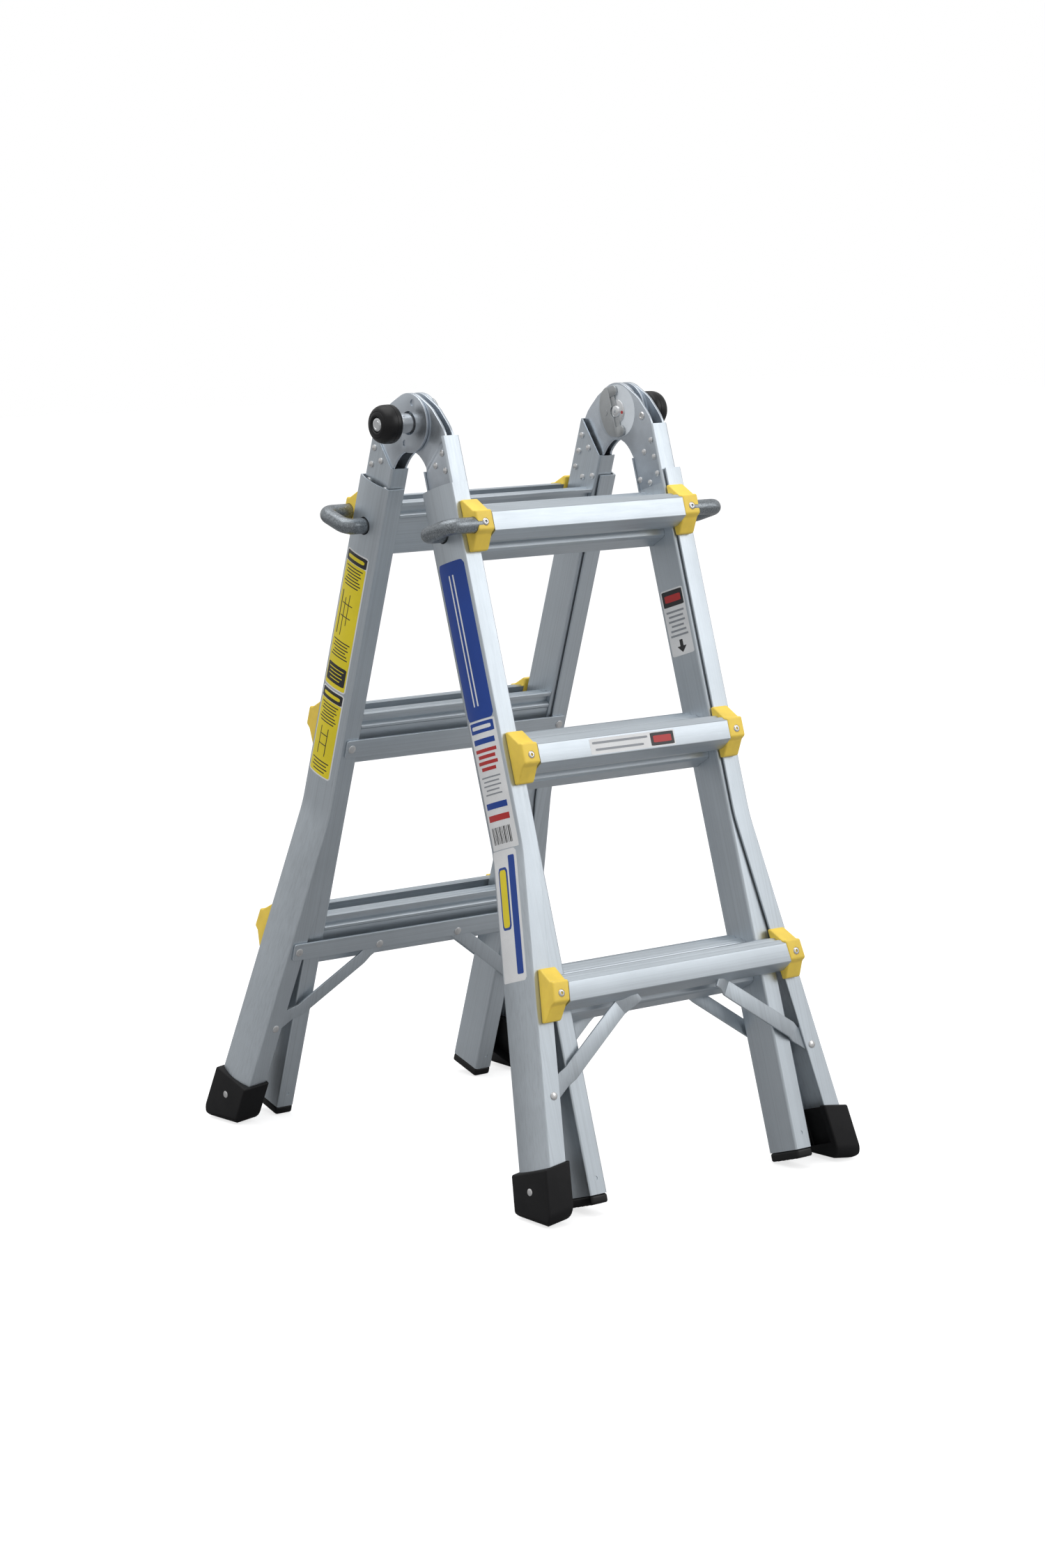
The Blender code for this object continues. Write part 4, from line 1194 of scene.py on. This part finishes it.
def caution(name, half, side, v0, v1, tall):
    """Yellow notice with a black heading, bars for its lines and a plain line drawing."""
    blocks = [
        ("white", 0, 18.5, 68.5, v0, v1, 3.0), ("yellow", 1, 20.5, 66.5, v0 + 17, v1 - 2, 1.0),
        ("black", 1, 20.5, 66.5, v0 + 2, v0 + 16.4, 1.0),
        ("yellow", 2, 25.0, 62.0, v0 + 6.5, v0 + 11.5, 1.0),
    ]
    blocks += text_bars("black", 2, 25, 62, v0 + 20, v0 + 50, 7, 1.5)
    if tall:
        lines = (
            (58.0, 60.0, 58, 120), (49.0, 50.4, 66, 120), (40.5, 41.7, 60, 104),
            (33.0, 56.0, 74, 75.2), (33.0, 56.0, 92, 93.2),
        )
    else:
        lines = (
            (52.0, 53.4, 56, 96), (36.0, 37.4, 56, 96), (36.0, 53.0, 66, 67.2),
            (36.0, 53.0, 80, 81.2),
        )
    blocks += [("black", 2, u0, u1, v0 + low, v0 + high, 0.0) for u0, u1, low, high in lines]
    if tall:
        blocks += text_bars("black", 2, 25, 62, v0 + 126, v0 + 152, 6, 1.5)
        blocks += [("black", 2, 22.5, 64.5, v1 - 34, v1 - 8, 1.0)]
        blocks += text_bars("yellow", 3, 27, 60, v1 - 31, v1 - 11, 4, 1.3)
    else:
        blocks += text_bars("black", 2, 25, 62, v1 - 24, v1 - 5, 4, 1.5)
    label(name, half, f"{half}_outer", web_spot(side), blocks)


def front_left_labels():
    spot = web_spot(-1)
    body = "front_outer"
    blocks = [
        ("blue", 0, 14.5, 67.5, 195.0, 402.0, 6.0), ("white", 1, 36.0, 38.5, 212.0, 385.0, 1.0),
        ("white", 1, 43.5, 46.0, 212.0, 385.0, 1.0),
    ]
    label("front_label_blue", "front", body, spot, blocks)
    blocks = [
        ("white", 0, 14.5, 67.5, 402.6, 571.0, 0.5), ("blue", 1, 17.5, 64.5, 405.0, 419.0, 0.5),
        ("white", 2, 22.0, 60.0, 409.5, 414.5, 0.5),
    ]
    blocks += text_bars("blue", 1, 20, 62, 423, 437, 1, 7.0)
    blocks += text_bars("red", 1, 20, 62, 438, 470, 4, 4.5)
    blocks += text_bars("grey", 1, 22, 60, 474, 502, 5, 1.8)
    blocks += text_bars("blue", 1, 20, 62, 506, 522, 1, 8.0)
    blocks += text_bars("red", 1, 20, 62, 522, 538, 1, 8.0)
    for k in range(14):
        u = 22.0 + 2.8 * k
        blocks.append(("black", 1, u, u + (0.8 if k % 3 else 1.7), 542.0, 564.0, 0.0))
    label("front_label_data", "front", body, spot, blocks)
    blocks = [
        ("white", 0, 10.0, 61.5, 572.0, 741.0, 4.0), ("blue", 1, 46.5, 57.5, 580.0, 732.0, 1.5),
        ("blue", 1, 22.5, 43.0, 594.0, 674.0, 5.0), ("yellow", 2, 25.5, 40.0, 597.0, 671.0, 4.0),
    ]
    label("front_label_rating", "front", body, spot, blocks)


def notice_labels():
    spot = tube_spot(1)
    blocks = [
        ("white", 0, 17.5, 63.0, 256.5, 347.0, 1.5), ("black", 1, 19.5, 61.0, 258.5, 280.0, 0.5),
        ("red", 2, 24.0, 56.5, 264.5, 274.0, 0.5),
    ]
    blocks += text_bars("grey", 1, 22, 58, 284, 323, 6, 2.6)
    blocks.append(("black", 1, 37.0, 43.5, 326.0, 335.0, 0.0))
    for k in range(8):
        reach = 9.0 * (1 - k / 8)
        blocks.append(("black", 1, 40.2 - reach, 40.2 + reach, 335.0 + k, 336.0 + k, 0.0))
    label("front_notice_rail", "front", "front_inner", spot, blocks)
    blocks = [
        ("white", 0, -78.0, 67.0, 451.5, 472.0, 0.5), ("black", 1, 25.0, 65.0, 453.2, 470.3, 0.5),
        ("red", 2, 29.5, 60.5, 457.2, 466.3, 0.5), ("grey", 1, -74.0, 20.0, 455.6, 458.6, 0.3),
        ("grey", 1, -70.0, 12.0, 464.6, 467.6, 0.3),
    ]
    label("front_notice_rung", "front", "front_outer", rung_spot, blocks)


# --- assembly ---

for half in ("front", "back"):
    for word, world_side in (("left", -1), ("right", 1)):
        local = world_side if half == "front" else -world_side
        lock_side = (half, word) in (("front", "right"), ("back", "left"))
        inner_rail(half, word, local, lock_side)
        end_cap(half, word, local)
        outer_rail(half, word, local)
        boot(half, word, local)
        lock_pin(half, word, local)
        for index in range(3):
            bracket(half, word, local, index)
        leaf(half, word, local, lock_side)
        if lock_side:
            lock_knob(half, word, local)
            lock_yoke(half, word, local)
    for index, rung_name in enumerate(RUNG_NAMES):
        inner_rung(half, rung_name, index)
        outer_rung(half, rung_name, index)
    for index, strap_name in enumerate(RUNG_NAMES[1:]):
        strap(half, strap_name, index)
caution("back_caution_tall", "back", 1, 198.0, 394.0, True)
caution("back_caution_short", "back", 1, 396.0, 522.0, False)
front_left_labels()
notice_labels()

# --- studio ---


def floor():
    """Pale ground, brighter to the camera than to the object, so the background stays white."""
    bm = bmesh.new()
    corners = [bm.verts.new((x, y, 0.0)) for x, y in ((-14, -14), (14, -14), (14, 14), (-14, 14))]
    bm.faces.new(corners)
    mesh = bpy.data.meshes.new("floor")
    bm.to_mesh(mesh)
    bm.free()
    made = add_object("floor", mesh)
    look = Look("floor_pale", 0.0, 0.8)
    cloud = look.noise(1.2, (1, 1, 1), 3.0, 0.5)
    pale = look.ramp(cloud, ((0.3, (0.52, 0.52, 0.525)), (0.7, (0.55, 0.55, 0.555))))
    seen = look.tree.nodes.new("ShaderNodeLightPath").outputs["Is Camera Ray"]
    dimmed = look.ramp(seen, ((0.0, share(0.66)), (1.0, share(1.0))))
    look.paint(look.times(pale, dimmed))
    look.shader.inputs["Emission Color"].default_value = (1.0, 1.0, 1.0, 1.0)
    look.link(look.spread(seen, 0.0, 0.72, 0.0, 1.0), look.shader.inputs["Emission Strength"])
    mesh.materials.append(look.made)


def area(name, place, aim, size, energy):
    light = bpy.data.lights.new(name, "AREA")
    light.shape = "RECTANGLE"
    light.size, light.size_y = size
    light.energy = energy
    made = add_object(name, light)
    made.location = place
    made.rotation_euler = (Vector(aim) - Vector(place)).to_track_quat("-Z", "Y").to_euler()


def sky():
    """Even pale room, a touch dimmer on the left, and plain white to the camera."""
    world = bpy.data.worlds.new("studio")
    bpy.context.scene.world = world
    world.use_nodes = True
    tree = world.node_tree
    place = tree.nodes.new("ShaderNodeTexCoord").outputs["Generated"]
    split = tree.nodes.new("ShaderNodeSeparateXYZ")
    tree.links.new(place, split.inputs[0])
    ramp = tree.nodes.new("ShaderNodeMapRange")
    ramp.interpolation_type = "SMOOTHSTEP"
    ramp.inputs["From Min"].default_value = -0.7
    ramp.inputs["From Max"].default_value = 0.55
    ramp.inputs["To Min"].default_value = 0.66
    ramp.inputs["To Max"].default_value = 0.69
    tree.links.new(split.outputs["X"], ramp.inputs["Value"])
    seen = tree.nodes.new("ShaderNodeLightPath").outputs["Is Camera Ray"]
    most = tree.nodes.new("ShaderNodeMath")
    most.operation = "MAXIMUM"
    tree.links.new(ramp.outputs["Result"], most.inputs[0])
    tree.links.new(seen, most.inputs[1])
    shade = tree.nodes["Background"]
    tree.links.new(most.outputs[0], shade.inputs["Color"])
    shade.inputs["Strength"].default_value = 1.0


floor()
sky()
area("key", (2.6, -3.2, 2.8), (0, 0, 0.5), (2.4, 2.4), KEY_WATTS)
area("top", (-0.4, 0.2, 3.4), (0, 0, 0.4), (3.0, 3.0), TOP_WATTS)
